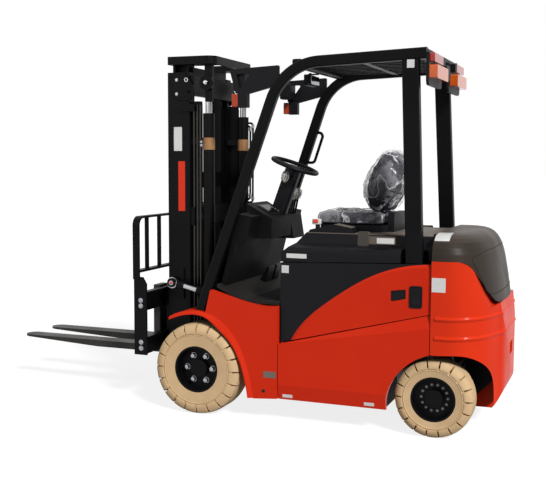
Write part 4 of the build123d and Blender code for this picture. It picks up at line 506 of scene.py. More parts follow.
def tube(path: np.ndarray, radius: float, sides: int = 10) -> np.ndarray:
    """A round section carried along a path, closed at both ends by rings of no radius.

    Args:
        path: points along the middle, in mm.
        radius: the section's radius.
        sides: stations round the section.

    Returns:
        A grid of points, stations by sides.
    """
    path = np.asarray(path, float)
    way = np.gradient(path, axis=0)
    way /= np.linalg.norm(way, axis=1, keepdims=True)
    guide = np.where(np.abs(way[:, 2:3]) < 0.9, [[0.0, 0.0, 1.0]], [[1.0, 0.0, 0.0]])
    across = np.cross(guide, way)
    across /= np.linalg.norm(across, axis=1, keepdims=True)
    up = np.cross(way, across)
    turn = np.linspace(0, 2 * np.pi, sides, endpoint=False)
    ring = np.cos(turn)[None, :, None] * across[:, None] + np.sin(turn)[None, :, None] * up[:, None]
    body = path[:, None] + radius * ring
    ends = [np.repeat(path[i][None, None], sides, axis=1) for i in (0, -1)]
    return np.concatenate([ends[0], body, ends[1]])


def folds(points: np.ndarray, seed: int, size_mm: float, count: int = 16) -> np.ndarray:
    """Ridges like creased film: the mean, over random directions, of (1 - |sin(direction . point)|) cubed.

    Args:
        points: places in mm.
        seed: fixes the directions.
        size_mm: spacing of the creases.
        count: how many directions are mixed.

    Returns:
        A height from 0 to 1 for each point.
    """
    rng = np.random.default_rng(seed)
    way = rng.normal(size=(count, 3))
    way *= (rng.uniform(0.6, 1.8, count) * np.pi / size_mm / np.linalg.norm(way, axis=1))[:, None]
    wave = 1 - np.abs(np.sin(points @ way.T + rng.uniform(0, 2 * np.pi, count)))
    return (wave**3).mean(axis=1)


def read_points(mesh: Mesh) -> np.ndarray:
    """Reads a mesh's points.

    Args:
        mesh: the mesh.

    Returns:
        One row for each point, in mm.
    """
    flat = np.empty(3 * len(mesh.vertices))
    mesh.vertices.foreach_get("co", flat)
    return flat.reshape(-1, 3) / MM


def read_normals(mesh: Mesh) -> np.ndarray:
    """Reads the normal at each point.

    Args:
        mesh: the mesh.

    Returns:
        One row for each point.
    """
    flat = np.empty(3 * len(mesh.vertices))
    mesh.vertices.foreach_get("normal", flat)
    return flat.reshape(-1, 3)


def write_points(mesh: Mesh, points: np.ndarray) -> None:
    """Puts points back into a mesh.

    Args:
        mesh: the mesh.
        points: one row for each point, in mm.
    """
    mesh.vertices.foreach_set("co", (points * MM).ravel())
    mesh.update()


def tidy(mesh: Mesh) -> None:
    """Merges doubled points, drops faces of no area and turns all faces outwards.

    Args:
        mesh: the mesh.
    """
    work = bmesh.new()
    work.from_mesh(mesh)
    bmesh.ops.remove_doubles(work, verts=work.verts, dist=1e-5)
    bmesh.ops.dissolve_degenerate(work, edges=work.edges, dist=1e-6)
    bmesh.ops.recalc_face_normals(work, faces=work.faces)
    work.to_mesh(mesh)
    work.free()


def smooth(mesh: Mesh, angle: float = 35.0) -> None:
    """Shades a mesh smooth, apart from its sharper edges.

    Args:
        mesh: the mesh.
        angle: the least angle of a sharp edge, in degrees.
    """
    mesh.polygons.foreach_set("use_smooth", np.ones(len(mesh.polygons), bool))
    mesh.set_sharp_from_angle(angle=math.radians(angle))


def bake(piece: Object) -> None:
    """Makes a piece's modified shape its own mesh and drops the modifiers.

    Args:
        piece: the object.
    """
    graph = bpy.context.evaluated_depsgraph_get()
    mesh = bpy.data.meshes.new_from_object(piece.evaluated_get(graph))
    piece.modifiers.clear()
    piece.data = mesh


@dataclass
class Piece:
    """Surfaces joined into one mesh that rides on one body.

    Attributes:
        name: the piece's name.
        body: the body that carries it.
        finish: its surface finish.
        shells: points and faces gathered so far.
    """

    name: str
    body: str
    finish: Finish | FilmFinish
    shells: list[tuple[np.ndarray, np.ndarray]] = field(default_factory=list)

    def add(self, grid: np.ndarray, wrap: bool = True) -> Piece:
        """Adds one grid of points.

        Args:
            grid: points in mm, rows by columns.
            wrap: whether the last column meets the first.

        Returns:
            The piece itself, for the next call.
        """
        rows, cols = grid.shape[:2]
        self.shells.append((grid.reshape(-1, 3), grid_faces(rows, cols, wrap)))
        return self

    def bolt(self, origin: Triple, axis: Triple, size: float) -> None:
        """Adds a washer and a hexagon head: two turned profiles, the head with six sides.

        Args:
            origin: the seat under the washer, in mm.
            axis: the direction that the head points.
            size: the head's radius.
        """
        self.add(lathe([(0, 0), (1.45 * size, 0), (1.45 * size, 1.6), (0, 1.6)], origin, axis, 20))
        head = [(0, 0), (size, 0), (size, 0.62 * size), (0.86 * size, 0.8 * size), (0, 0.82 * size)]
        self.add(lathe(head, origin, axis, 6))

    def build(self) -> Object:
        """Joins the surfaces, links the object and hangs it on its body.

        Returns:
            The new object.
        """
        starts = np.cumsum([0] + [len(p) for p, _ in self.shells])
        points = np.concatenate([p for p, _ in self.shells]) * MM
        faces = np.concatenate([f + start for (_, f), start in zip(self.shells, starts)])
        mesh = bpy.data.meshes.new(self.name)
        mesh.from_pydata(points.tolist(), [], faces.tolist())
        tidy(mesh)
        smooth(mesh)
        mesh.materials.append(self.finish.build())
        piece = link(self.name, mesh)
        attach(piece, self.body)
        LOG.info("%s: %d faces on %s", self.name, len(mesh.polygons), self.body)
        return piece


@dataclass(frozen=True)
class Tyre:
    """One size of tyre, for the raised forms on its outer wall.

    Attributes:
        body: start of the bodies' names.
        x: the axle's place along the truck.
        face: outer face from the middle plane.
        radius: outer radius, which is also the axle's height.
        lugs: count of lugs round the shoulder.
        wall: depth of the lugs from the tread towards the rim.
        dish: how far the fasteners sit behind the outer face.
    """

    body: str
    x: float
    face: float
    radius: float
    lugs: int
    wall: float
    dish: float


@dataclass
class Wheels:
    """Nuts on the drive wheels, bolt rings on the steer wheels, lugs and a ridge on each tyre's outer wall.

    Attributes:
        drive, steer: the two sizes of tyre.
        nut_circle, bolt_circle: radii of the two fastener circles.
        nuts, bolts: how many there are on a drive wheel and on a steer wheel.
        nut: radius and height along a nut with its washer.
        groove: gap between two lugs.
        raise_mm: how far a lug stands proud of the wall.
        sink_mm: how far its ends are sunk into the tyre.
    """

    drive: Tyre = Tyre("front_wheel_", DRIVE_AXLE_X, 583.0, 290.0, 20, 64.0, 69.0)
    steer: Tyre = Tyre("rear_wheel_", REAR_AXLE_X, 543.0, STEER_RADIUS, 18, 50.0, 58.0)
    nut_circle: float = 88.0
    bolt_circle: float = 78.0
    nuts: int = 6
    bolts: int = 14
    nut: tuple[tuple[float, float], ...] = (
        (0, 0), (19, 0), (19, 3), (16, 3), (16, 20), (13, 25), (6, 28), (0, 28))
    groove: float = 13.0
    raise_mm: float = 4.0
    sink_mm: float = 9.0

    def build(self, frame: dict) -> None:
        """Adds the fasteners and the wall's forms on all four wheels.
        """
        for side in Side:
            name = side.name.lower()
            out = (0, side.value, 0)
            nuts = Piece("drive_nuts_" + name, "front_wheel_" + name, ZINC)
            for place in self.seats(self.drive, side, self.nut_circle, self.nuts):
                nuts.add(lathe(self.nut, place, out, 24))
            nuts.build()
            ring = Piece("steer_bolts_" + name, "rear_wheel_" + name, DULL_STEEL)
            for place in self.seats(self.steer, side, self.bolt_circle, self.bolts):
                ring.bolt(place, out, 5.5)
            ring.build()
            for tyre in (self.drive, self.steer):
                rubber = Piece(tyre.body + "wall_" + name, tyre.body + name, TAN_RUBBER)
                mid = tyre.radius - tyre.wall - 8
                ridge = [(mid - 6, -5), (mid - 4, 0), (mid, 2.6), (mid + 4, 0), (mid + 6, -5), (mid - 6, -5)]
                rubber.add(lathe(ridge, (tyre.x, side.value * tyre.face, tyre.radius), out, 96))
                for lug in self.lug_grids(tyre, side):
                    rubber.add(lug, False)
                rubber.build()

    def seats(self, tyre: Tyre, side: Side, radius: float, count: int) -> list[Triple]:
        """Places on a circle about the axle: axle + radius * (cos turn, sin turn).

        Args:
            tyre: the size of tyre.
            side: the truck's side.
            radius: the circle's radius.
            count: how many places.

        Returns:
            The places, in mm.
        """
        y = side.value * (tyre.face - tyre.dish)
        return [(tyre.x + radius * math.cos(turn), y, tyre.radius + radius * math.sin(turn))
                for turn in np.arange(count) * 2 * np.pi / count]

    def lug_grids(self, tyre: Tyre, side: Side) -> np.ndarray:
        """Lugs as arcs of one profile: axle + radius * (cos turn, sin turn), with the height along Y.

        The end stations of an arc are sunk into the tyre, which closes the lug.

        Args:
            tyre: the size of tyre.
            side: the truck's side.

        Returns:
            One grid of points for each lug: profile by stations.
        """
        r, up = tyre.radius, self.raise_mm
        foot = r - tyre.wall
        profile = np.array([(foot, -8), (foot, up - 1), (foot + 4, up), (r - 26, up - 5), (r - 8, -16),
                            (r - 0.8, -46), (r - 5, -54)])
        half = np.pi / tyre.lugs - 0.5 * self.groove / (r - 0.5 * tyre.wall)
        arc = np.array([-1, -1, -0.6, -0.2, 0.2, 0.6, 1, 1]) * half
        sunk = self.sink_mm * np.array([1, 0, 0, 0, 0, 0, 0, 1])[None, None]
        turn = (np.arange(tyre.lugs) + 0.5)[:, None, None] * 2 * np.pi / tyre.lugs + arc[None, None]
        radius = profile[None, :, :1] - sunk
        height = np.broadcast_to(profile[None, :, 1:] - sunk, (tyre.lugs, len(profile), len(arc)))
        return np.stack([tyre.x + radius * np.cos(turn), side.value * (tyre.face + height),
                         tyre.radius + radius * np.sin(turn)], axis=-1)


@dataclass
class MastFittings:
    """Bands, pipes, plates, sheave bolts and ring on the mast, tilt clevises and the carriage's bolts.

    Attributes:
        rail_face: outer face of the mast's rails.
        lift_x, lift_y: the side cylinders' axes.
        band: lower and upper end of the paper bands.
        pipes_x, pipes_y: the pipes' places along the truck and across it.
        pipe_ends: lower and upper end of the pipes.
        tilt_pin, tilt_foot: the left tilt cylinder's two ends.
        tilt_y: the tilt rods' distance from the middle plane.
        carriage_bolts, rail_bolts, band_bolts: heights of the bolts on and beside these.
        collars: each hose collar's distance behind the cylinder's axis, and its height.
        ring: middle and radius of the lifting ring.
    """

    rail_face: float = 330.0
    lift_x: float = 196.5
    lift_y: float = 284.0
    band: tuple[float, float] = (1672.0, 1749.0)
    pipes_x: Triple = (246, 268, 292)
    pipes_y: float = 306.5
    pipe_ends: tuple[float, float] = (500, 1960)
    tilt_pin: Triple = (414.5, 400.0, 806.0)
    tilt_foot: Triple = (-87.5, 400.0, 690.0)
    tilt_y: float = 380.0
    carriage_bolts: tuple[float, ...] = (692, 656, 416, 376)
    rail_bolts: tuple[float, ...] = (2030, 2120)
    band_bolts: tuple[float, ...] = (1700, 1722)
    collars: tuple[tuple[float, float], ...] = ((54, 1346), (54, 1810), (74, 1326), (74, 1830))
    ring: Triple = (331, 2118, 11)

    def build(self, frame: dict) -> None:
        """Adds every fitting.
        """
        bands = Piece("cylinder_bands", "outer_mast", TAN_BAND)
        zinc = Piece("mast_bolts", "outer_mast", ZINC)
        caps = Piece("tilt_pin_caps", "outer_mast", SIGNAL_NYLON)
        sheaves = Piece("sheave_bolts", "inner_mast", CHROME)
        plates = Piece("mast_plate", "outer_mast", WHITE_PLATE)
        strips = Piece("mast_strip", "outer_mast", RED_PLATE)
        carriage = Piece("carriage_bolts", "carriage", ZINC)
        guards = Piece("pipe_guards", "outer_mast", BLACK_POWDER)
        pipes = Piece("mast_pipes", "outer_mast", PIPE_STEEL)
        rod = np.array(self.tilt_pin) - np.array(self.tilt_foot)
        tall = self.band[1] - self.band[0]
        for side in Side:
            s, name = side.value, side.name.lower()
            out = (0, s, 0)
            pin = (self.tilt_pin[0], s * self.tilt_pin[1], self.tilt_pin[2])
            bands.add(lathe([(36, 0), (39, 0), (39, tall), (36, tall), (36, 0)],
                            (self.lift_x, s * self.lift_y, self.band[0]), (0, 0, 1), 32))
            guards.add(block((274, s * 296, 1232), (38.4, 752, 2.5), 0.06, out))
            for x in self.pipes_x:
                z = np.linspace(*self.pipe_ends, 40)
                run = np.stack([np.full(40, x), np.full(40, s * self.pipes_y), z], axis=1)
                pipes.add(tube(run, 8.0, 14))
            plates.add(block((397, s * self.rail_face, 1741), (29, 77, 1.2), 0.05, out))
            strips.add(block((371, s * self.rail_face, 1435), (24, 162, 1.2), 0.05, out))
            for z in self.band_bolts:
                zinc.bolt((self.lift_x + 44, s * (self.lift_y + 25), z), out, 7)
            guards.add(lathe([(0, -1), (30, -1), (30, 3), (0, 3)], pin, out, 28))
            zinc.add(lathe([(0, 2), (15, 2), (15, 7), (0, 7)], pin, out, 28))
            caps.add(lathe([(0, 6), (8, 6), (8, 12), (5, 17), (0, 18)], pin, out, 18))
            sheaves.add(lathe([(0, -2), (15, -2), (15, 4), (11, 8), (0, 9)],
                              (self.lift_x + 4, s * (self.lift_y + 44), 2100), out, 24))
            clevis = [(18, 36), (24, 36), (26, 40), (26, 74), (21, 86), (18, 86), (18, 36)]
            Piece("tilt_clevis_" + name, "tilt_rod_" + name, BLACK_POWDER).add(
                lathe(clevis, (pin[0], s * self.tilt_y, pin[2]), tuple(-rod), 28)).build()
            for z in self.carriage_bolts:
                carriage.bolt((591.5, s * 492, z), out, 11)
            for z in self.rail_bolts:
                zinc.bolt((400, s * (self.rail_face + 9), z), out, 7)
        for back, z in self.collars:
            collar = [(7, 0), (11, 0), (11, 24), (7, 24), (7, 0)]
            zinc.add(lathe(collar, (self.lift_x - back, -self.lift_y, z), (0, 0, 1), 6))
        turn = np.linspace(0, 2 * np.pi, 33)
        x, z, radius = self.ring
        plates.add(tube(np.stack([x + radius * np.cos(turn), np.full(33, self.rail_face + radius),
                                  z + radius * np.sin(turn)], axis=1), 3.2))
        for piece in (bands, zinc, caps, sheaves, plates, strips, carriage, guards, pipes):
            piece.build()


@dataclass
class Tail:
    """The moulded cover over the casting, with its panel seam and hinge ears, and the belt round the casting.

    Attributes:
        front: the cover's front face.
        squareness: power of the outline, 2 for an ellipse.
        seam_x, seam_z: the line that the cover stands on, from front to rear.
        heights, widths, reaches: half width and reach behind the front face at each height.
        panel: half of the rear panel's outline, Y and Z.
        hinge: X and Z of the hood's hinge pins, which the cover's ears hold.
        ears: the ears' distances from the middle plane.
        plate_x, plate_z: where the blank plate lies on the left shoulder.
        belt: heights of the two ridges.
        belt_rise: how much higher a ridge lies at the rear.
        belt_proud: how far a ridge stands out.
    """

    front: float = -1326.0
    squareness: float = 2.75
    seam_x: tuple[float, ...] = (-1330, -1480, -1525, -1552, -1572, -1632, -1650, -1715)
    seam_z: tuple[float, ...] = (1036, 1036, 1024, 992, 948, 790, 778, 800)
    heights: tuple[float, ...] = (760, 900, 1028, 1075, 1110, 1140, 1163, 1178, 1185, 1188)
    widths: tuple[float, ...] = (569, 567, 563, 558, 548, 530, 502, 465, 420, 370)
    reaches: tuple[float, ...] = (363, 342, 318, 304, 290, 272, 250, 226, 204, 182)
    panel: tuple[tuple[float, float], ...] = ((0, 1095), (330, 1091), (490, 1057), (396, 838), (0, 846))
    hinge: tuple[float, float] = (-1304.5, 1171.0)
    ears: tuple[float, float] = (169.0, 331.0)
    plate_x: tuple[float, float] = (-1414, -1330)
    plate_z: tuple[float, float] = (1150, 1187.5)
    belt: tuple[float, float] = (706.0, 594.0)
    belt_rise: float = 14.0
    belt_proud: float = 7.5

    def build(self, frame: dict) -> None:
        """Builds the cover, its seam, plate and hinge ears, and the belt.
        """
        self.build_skin()
        self.build_seam()
        self.build_plate()
        self.build_belt(frame)

    def outline(self, turn: np.ndarray, wide: np.ndarray, reach: np.ndarray) -> tuple[np.ndarray, np.ndarray]:
        """Half a superellipse behind the front: cosine and sine of the turn to the power 2 / squareness.

        Args:
            turn: angle from the left front corner round the rear, 0 to pi.
            wide: half width.
            reach: depth behind the front face.

        Returns:
            X and Y.
        """
        power = 2 / self.squareness
        return (self.front - reach * np.sin(turn).clip(0) ** power,
                wide * np.sign(np.cos(turn)) * np.abs(np.cos(turn)) ** power)

    def size_at(self, z: np.ndarray) -> tuple[np.ndarray, np.ndarray]:
        """Reads the cover's half width and reach at a height.

        Args:
            z: heights in mm.

        Returns:
            Half widths and reaches.
        """
        return np.interp(z, self.heights, self.widths), np.interp(z, self.heights, self.reaches)

    def build_skin(self) -> None:
        """Builds the skin: outlines stacked from the seam up, drawn in over the top and under the foot."""
        turn = np.linspace(0, np.pi, 161)[None]
        rear_x, _ = self.outline(turn, np.array(563.0), np.array(330.0))
        foot = np.interp(-rear_x, -np.array(self.seam_x), self.seam_z)
        foot = np.convolve(np.pad(foot[0], 4, mode="edge"), np.full(9, 1 / 9), mode="valid")[None]
        rise = np.linspace(0, 1, 40)[:, None] ** 0.85
        z = foot + rise * (self.heights[-1] - foot)
        wide, reach = self.size_at(z)
        draw = np.linspace(1, 0, 14)[1:, None] * np.ones_like(turn)
        top = self.heights[-1] + 3 * (1 - draw**2)
        under = np.broadcast_to(np.maximum(foot, 1037.0), (6, turn.shape[1]))
        under_draw = np.linspace(0, 0.94, 6)[:, None]
        z = np.concatenate([under, z, top])
        wide = np.concatenate([under_draw * wide[:1], wide, draw * self.widths[-1]])
        reach = np.concatenate([under_draw * 190.0 * np.ones_like(turn), reach, draw * self.reaches[-1]])
        x, y = self.outline(np.broadcast_to(turn, z.shape), wide, reach)
        cover = Piece("tail_cover_skin", "chassis", COVER_MOULDED).add(np.stack([x, y, z], axis=-1))
        pin_x, pin_z = self.hinge
        ring = [(4.6, 0), (9, 0), (9, 80), (4.6, 80), (4.6, 0)]
        for side in Side:
            for ear in self.ears:
                cover.add(lathe(ring, (pin_x, side.value * ear - 40, pin_z), (0, 1, 0), 28))
                cover.add(block((pin_x - 16, side.value * ear, pin_z), (40, 10.5, 4.5), 0.1, (0, 0, 1)))
        made = cover.build()
        # A paler tone on upward faces: partly dusty, partly a painted sheen of the light from above
        up = read_normals(made.data)[:, 2]
        dusty_sheen_weight = made.data.attributes.new("dust", "FLOAT", "POINT")
        dusty_sheen_weight.data.foreach_set("value", np.clip((up - 0.55) / 0.4, 0, 1))
        smooth(made.data, 50.0)
        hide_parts("rear_cover")

    def build_seam(self) -> None:
        """Lays a thin dark line round the rear panel, softened, with X from the outline's formula."""
        half = np.array(self.panel, float)
        loop = np.concatenate([half, half[-2:0:-1] * (-1, 1), half[:1]])
        along = np.linspace(0, len(loop) - 1, 240, endpoint=False)
        line = np.stack([np.interp(along, np.arange(len(loop)), loop[:, i]) for i in (0, 1)], axis=1)
        line = np.concatenate([line[-5:], line, line[:5]])
        y, z = (np.convolve(line[:, i], np.full(11, 1 / 11), "valid") for i in (0, 1))
        y, z = np.append(y, y[0]), np.append(z, z[0])
        wide, reach = self.size_at(z)
        power = self.squareness
        x = self.front - reach * (1 - (np.abs(y) / wide) ** power) ** (1 / power)
        bead = tube(np.stack([x, y, z], axis=1), 2.4, 10)
        Piece("tail_panel_seam", "chassis", MAT_RUBBER).add(bead).build()

    def build_plate(self) -> None:
        """Lays the blank plate 0.8 mm off the left shoulder, with Y from the outline's formula."""
        x, z = np.meshgrid(np.linspace(*self.plate_x, 12), np.linspace(*self.plate_z, 12), indexing="ij")
        wide, reach = self.size_at(z)
        power = self.squareness
        y = wide * (1 - ((self.front - x) / reach).clip(0, 1) ** power) ** (1 / power)
        lifted = np.stack([x, y + 0.8, z + 0.8], axis=-1)
        Piece("cover_plate", "chassis", WHITE_PLATE).add(lifted, False).build()

    def build_belt(self, frame: dict) -> None:
        """Lays two low ridges round the casting: strips snapped to its skin, then pushed out by a bell curve.
        """
        turn = np.linspace(0.02, np.pi - 0.02, 181)[None]
        x, y = self.outline(turn, np.array(585.0), np.array(400.0))
        for name, middle in zip(("belt_ridge_upper", "belt_ridge_lower"), self.belt):
            z = middle + np.linspace(-26, 26, 15)[:, None] + self.belt_rise * np.sin(turn)
            strip = Piece(name, "chassis", RED_CASTING_PAINTED_LIGHTER)
            strip.add(np.stack([np.broadcast_to(x, z.shape), np.broadcast_to(y, z.shape), z], axis=-1), False)
            made = strip.build()
            snap = made.modifiers.new("snap", "SHRINKWRAP")
            snap.target = frame["nodes"]["counterweight"]
            snap.wrap_method = "NEAREST_SURFACEPOINT"
            bake(made)
            points = read_points(made.data)
            back = np.minimum(points[:, 0] - self.front + 120, -1e-3) * 1.6
            out = np.stack([back, points[:, 1], 0 * back], axis=1)
            out /= np.linalg.norm(out, axis=1, keepdims=True)
            off = points[:, 2] - middle - self.belt_rise * np.abs(out[:, 0])
            lift = self.belt_proud * np.exp(-((off / 11) ** 2)) - 1.0
            write_points(made.data, points + lift[:, None] * out)
            smooth(made.data, 80.0)


@dataclass(frozen=True)
class Label:
    """A blank plate laid on a painted face.

    Attributes:
        name: the piece's name.
        node: the CAD solid that it lies on.
        body: the body that carries it.
        low, high: two corners in mm, X and Z.
        finish: its surface finish.
    """

    name: str
    node: str
    body: str
    low: tuple[float, float]
    high: tuple[float, float]
    finish: Finish

    def build(self, frame: dict) -> None:
        """Drops a flat grid of points on the solid along Y, lifts it by 1 mm and thickens it.
        """
        sides = [np.linspace(low, high, 9) for low, high in zip(self.low, self.high)]
        u, v = np.meshgrid(*sides, indexing="ij")
        made = Piece(self.name, self.body, self.finish).add(
            np.stack([u, np.full_like(u, 900.0), v], axis=-1), False).build()
        drop = made.modifiers.new("drop", "SHRINKWRAP")
        drop.target = frame["nodes"][self.node]
        drop.wrap_method = "PROJECT"
        drop.wrap_mode = "ABOVE_SURFACE"
        drop.use_project_y = True
        drop.use_project_z = False
        drop.use_positive_direction = False
        drop.use_negative_direction = True
        drop.offset = 1.0 * MM
        thick = made.modifiers.new("thick", "SOLIDIFY")
        thick.thickness = 0.8 * MM
        thick.offset = 0.0
        bake(made)
        tidy(made.data)
        smooth(made.data)


LABELS = (
    Label("counterweight_plate", "counterweight", "chassis", (-1409, 862), (-1330, 944), WHITE_PLATE),
    Label("post_plate", "guard_posts", "chassis", (-1192, 2133), (-1149, 2180), WHITE_PLATE),
    Label("hood_plate", "battery_hood", "hood", (-566, 1019), (-438, 1046), WHITE_PLATE),
    Label("door_plate", "side_door_left", "door_left", (-455, 927), (-408, 973), WHITE_PLATE),
    Label("step_plate", "front_fenders", "chassis", (-383, 278), (-301, 317), GREY_PLATE),
    Label("panel_foot_plate_front", "side_panels", "chassis", (-488, 163), (-424, 183), WHITE_PLATE),
    Label("panel_foot_plate_rear", "side_panels", "chassis", (-1000, 163), (-938, 183), WHITE_PLATE),
)


@dataclass
class BodyFittings:
    """Blank plates, lamp lenses, mirror glass, display, mat ribs, the hood's lip and flap, belt buckle.

    Attributes:
        panel_y: the red side's distance from the middle plane.
        floor_z: the driver's floor.
        ribs: count of mat ribs along the floor.
        slope: the way that the dashboard's face looks.
        knobs: middle and size of each bunch of film on the lever knobs.
    """

    panel_y: float = 570.0
    floor_z: float = 745.0
    ribs: int = 13
    slope: Triple = (-0.479, 0, 0.878)
    knobs: tuple[tuple[float, float, float, float], ...] = (
        (-221, -140, 1372, 30), (-219, -186, 1376, 31), (-222, -232, 1374, 30), (-220, -278, 1378, 31),
        (-268, 112, 1500, 30))

    def build(self, frame: dict) -> None:
        """Adds every fitting.
        """
        self.build_plates(frame)
        self.build_deck()
        self.build_lamps()
        self.build_cab()

    def build_plates(self, frame: dict) -> None:
        """Adds the blank plates, each dropped on the face that it lies on, and the rubber plugs of the step.
        """
        for label in LABELS:
            label.build(frame)
        plug = Piece("step_plugs", "chassis", MAT_RUBBER)
        dome = [(0, -1), (11, -1), (11, 1.2), (8, 1.8), (0, 1.8)]
        for side in Side:
            plug.add(lathe(dome, (-302, side.value * self.panel_y, 193), (0, side.value, 0), 24))
        plug.build()
        # Dark rubber sheets and blocks set in the wheel wells and gaps where the body looks dark: painted
        # shade
        flap = Piece("wheel_well_flaps", "chassis", MAT_RUBBER)
        for side in Side:
            flap.add(block((-1061, side.value * 400, 302), (148, 148, 3.5), 0.08, (1, 0, 0)))
            flap.add(block((-1300, side.value * 498, 488), (58, 45, 9), 0.1, (0, 0, 1)))
            flap.add(block((-437, side.value * 480, 978), (38, 32, 13), 0.1, (0, 0, 1)))
        flap.build()

    def build_deck(self) -> None:
        """Adds the lip at the hood's rear edge, painted paler (partly dusty, partly a painted sheen), its
        plate and the seat's flap, as rounded boxes.
        """
        lip = Piece("deck_lip", "hood", DUSTY_SHEEN_MOULDED)
        for s in (side.value for side in Side):
            lip.add(block((-1024, s * 540, 1143.5), (84, 23, 3), 0.12, (0, s, 0)))
        lip.build()
        Piece("deck_plate", "hood", WHITE_PLATE).add(
            block((-1050, 543, 1142), (52, 16, 0.8), 0.06, (0, 1, 0))).build()
        Piece("deck_flap", "hood", GREY_MOULDED).add(
            block((-918, 541, 1150), (34, 44, 9), 0.25, (0, 1, 0.1))).build()

    def build_lamps(self) -> None:
        """Adds a domed lens to each head lamp and the glass of the mirror."""
        lens = Piece("head_lamp_lenses", "chassis", CLEAR_LENS)
        dome = [(0, 9), (18, 8), (34, 5), (44, 1), (46, -2), (0, -2)]
        for side in Side:
            lens.add(lathe(dome, (-52.5, side.value * 404, 2085), (1, 0, 0), 36))
        lens.build()
        low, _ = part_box("mirror")
        Piece("mirror_glass", "chassis", MIRROR).add(
            block((low[0] / MM + 22, 0, 2120), (80, 27, 2.0), 0.2, (-1, 0, 0))).build()

    def build_cab(self) -> None:
        """Adds the display, its keys, the mat's ribs, the belt buckle and the film on the lever knobs."""
        Piece("display_bezel", "chassis", BLACK_MOULDED).add(
            block((-161.5, 120, 1286), (96, 62, 5), 0.2, self.slope)).build()
        Piece("display_glass", "chassis", DISPLAY).add(
            block((-163, 132, 1289.5), (66, 46, 4), 0.12, self.slope)).build()
        keys = Piece("display_keys", "chassis", GREY_PLATE)
        for step in (-36, -12, 12, 36):
            keys.add(block((-163 - 0.878 * step, 46, 1290 - 0.479 * step), (9, 8, 5), 0.4, self.slope))
        keys.build()
        mat = Piece("mat_ribs", "chassis", MAT_RUBBER)
        for x in np.linspace(-384, -176, self.ribs):
            mat.add(block((x, 0, self.floor_z), (490, 3.2, 3.0), 0.2, (0, 0, 1), 9, 20))
        mat.build()
        Piece("buckle_stem", "hood", BLACK_MOULDED).add(block((-552, 288, 1190), (8, 14, 28), 0.3)).build()
        Piece("belt_buckle", "hood", WHITE_PLATE).add(
            block((-544, 288, 1226), (30, 19, 11), 0.35, (0.1, 1, 0.1))).build()
        Piece("buckle_button", "hood", SIGNAL_NYLON).add(
            block((-541, 298, 1229), (17, 12, 4), 0.4, (0.1, 1, 0.1))).build()
        bunch = Piece("lever_film", "chassis", FILM_BUNCH)
        for seed, (*place, size) in enumerate(self.knobs):
            wrap = block(tuple(place), (0.9 * size, 0.9 * size, 1.3 * size), 0.9, (-0.2, 0, 0.98), 25, 36)
            middle = np.array(place, float)
            swell = 0.8 + 0.75 * folds(wrap.reshape(-1, 3), 40 + seed, 26.0).reshape(wrap.shape[:2])
            bunch.add(middle + (wrap - middle) * swell[..., None])
        bunch.build()


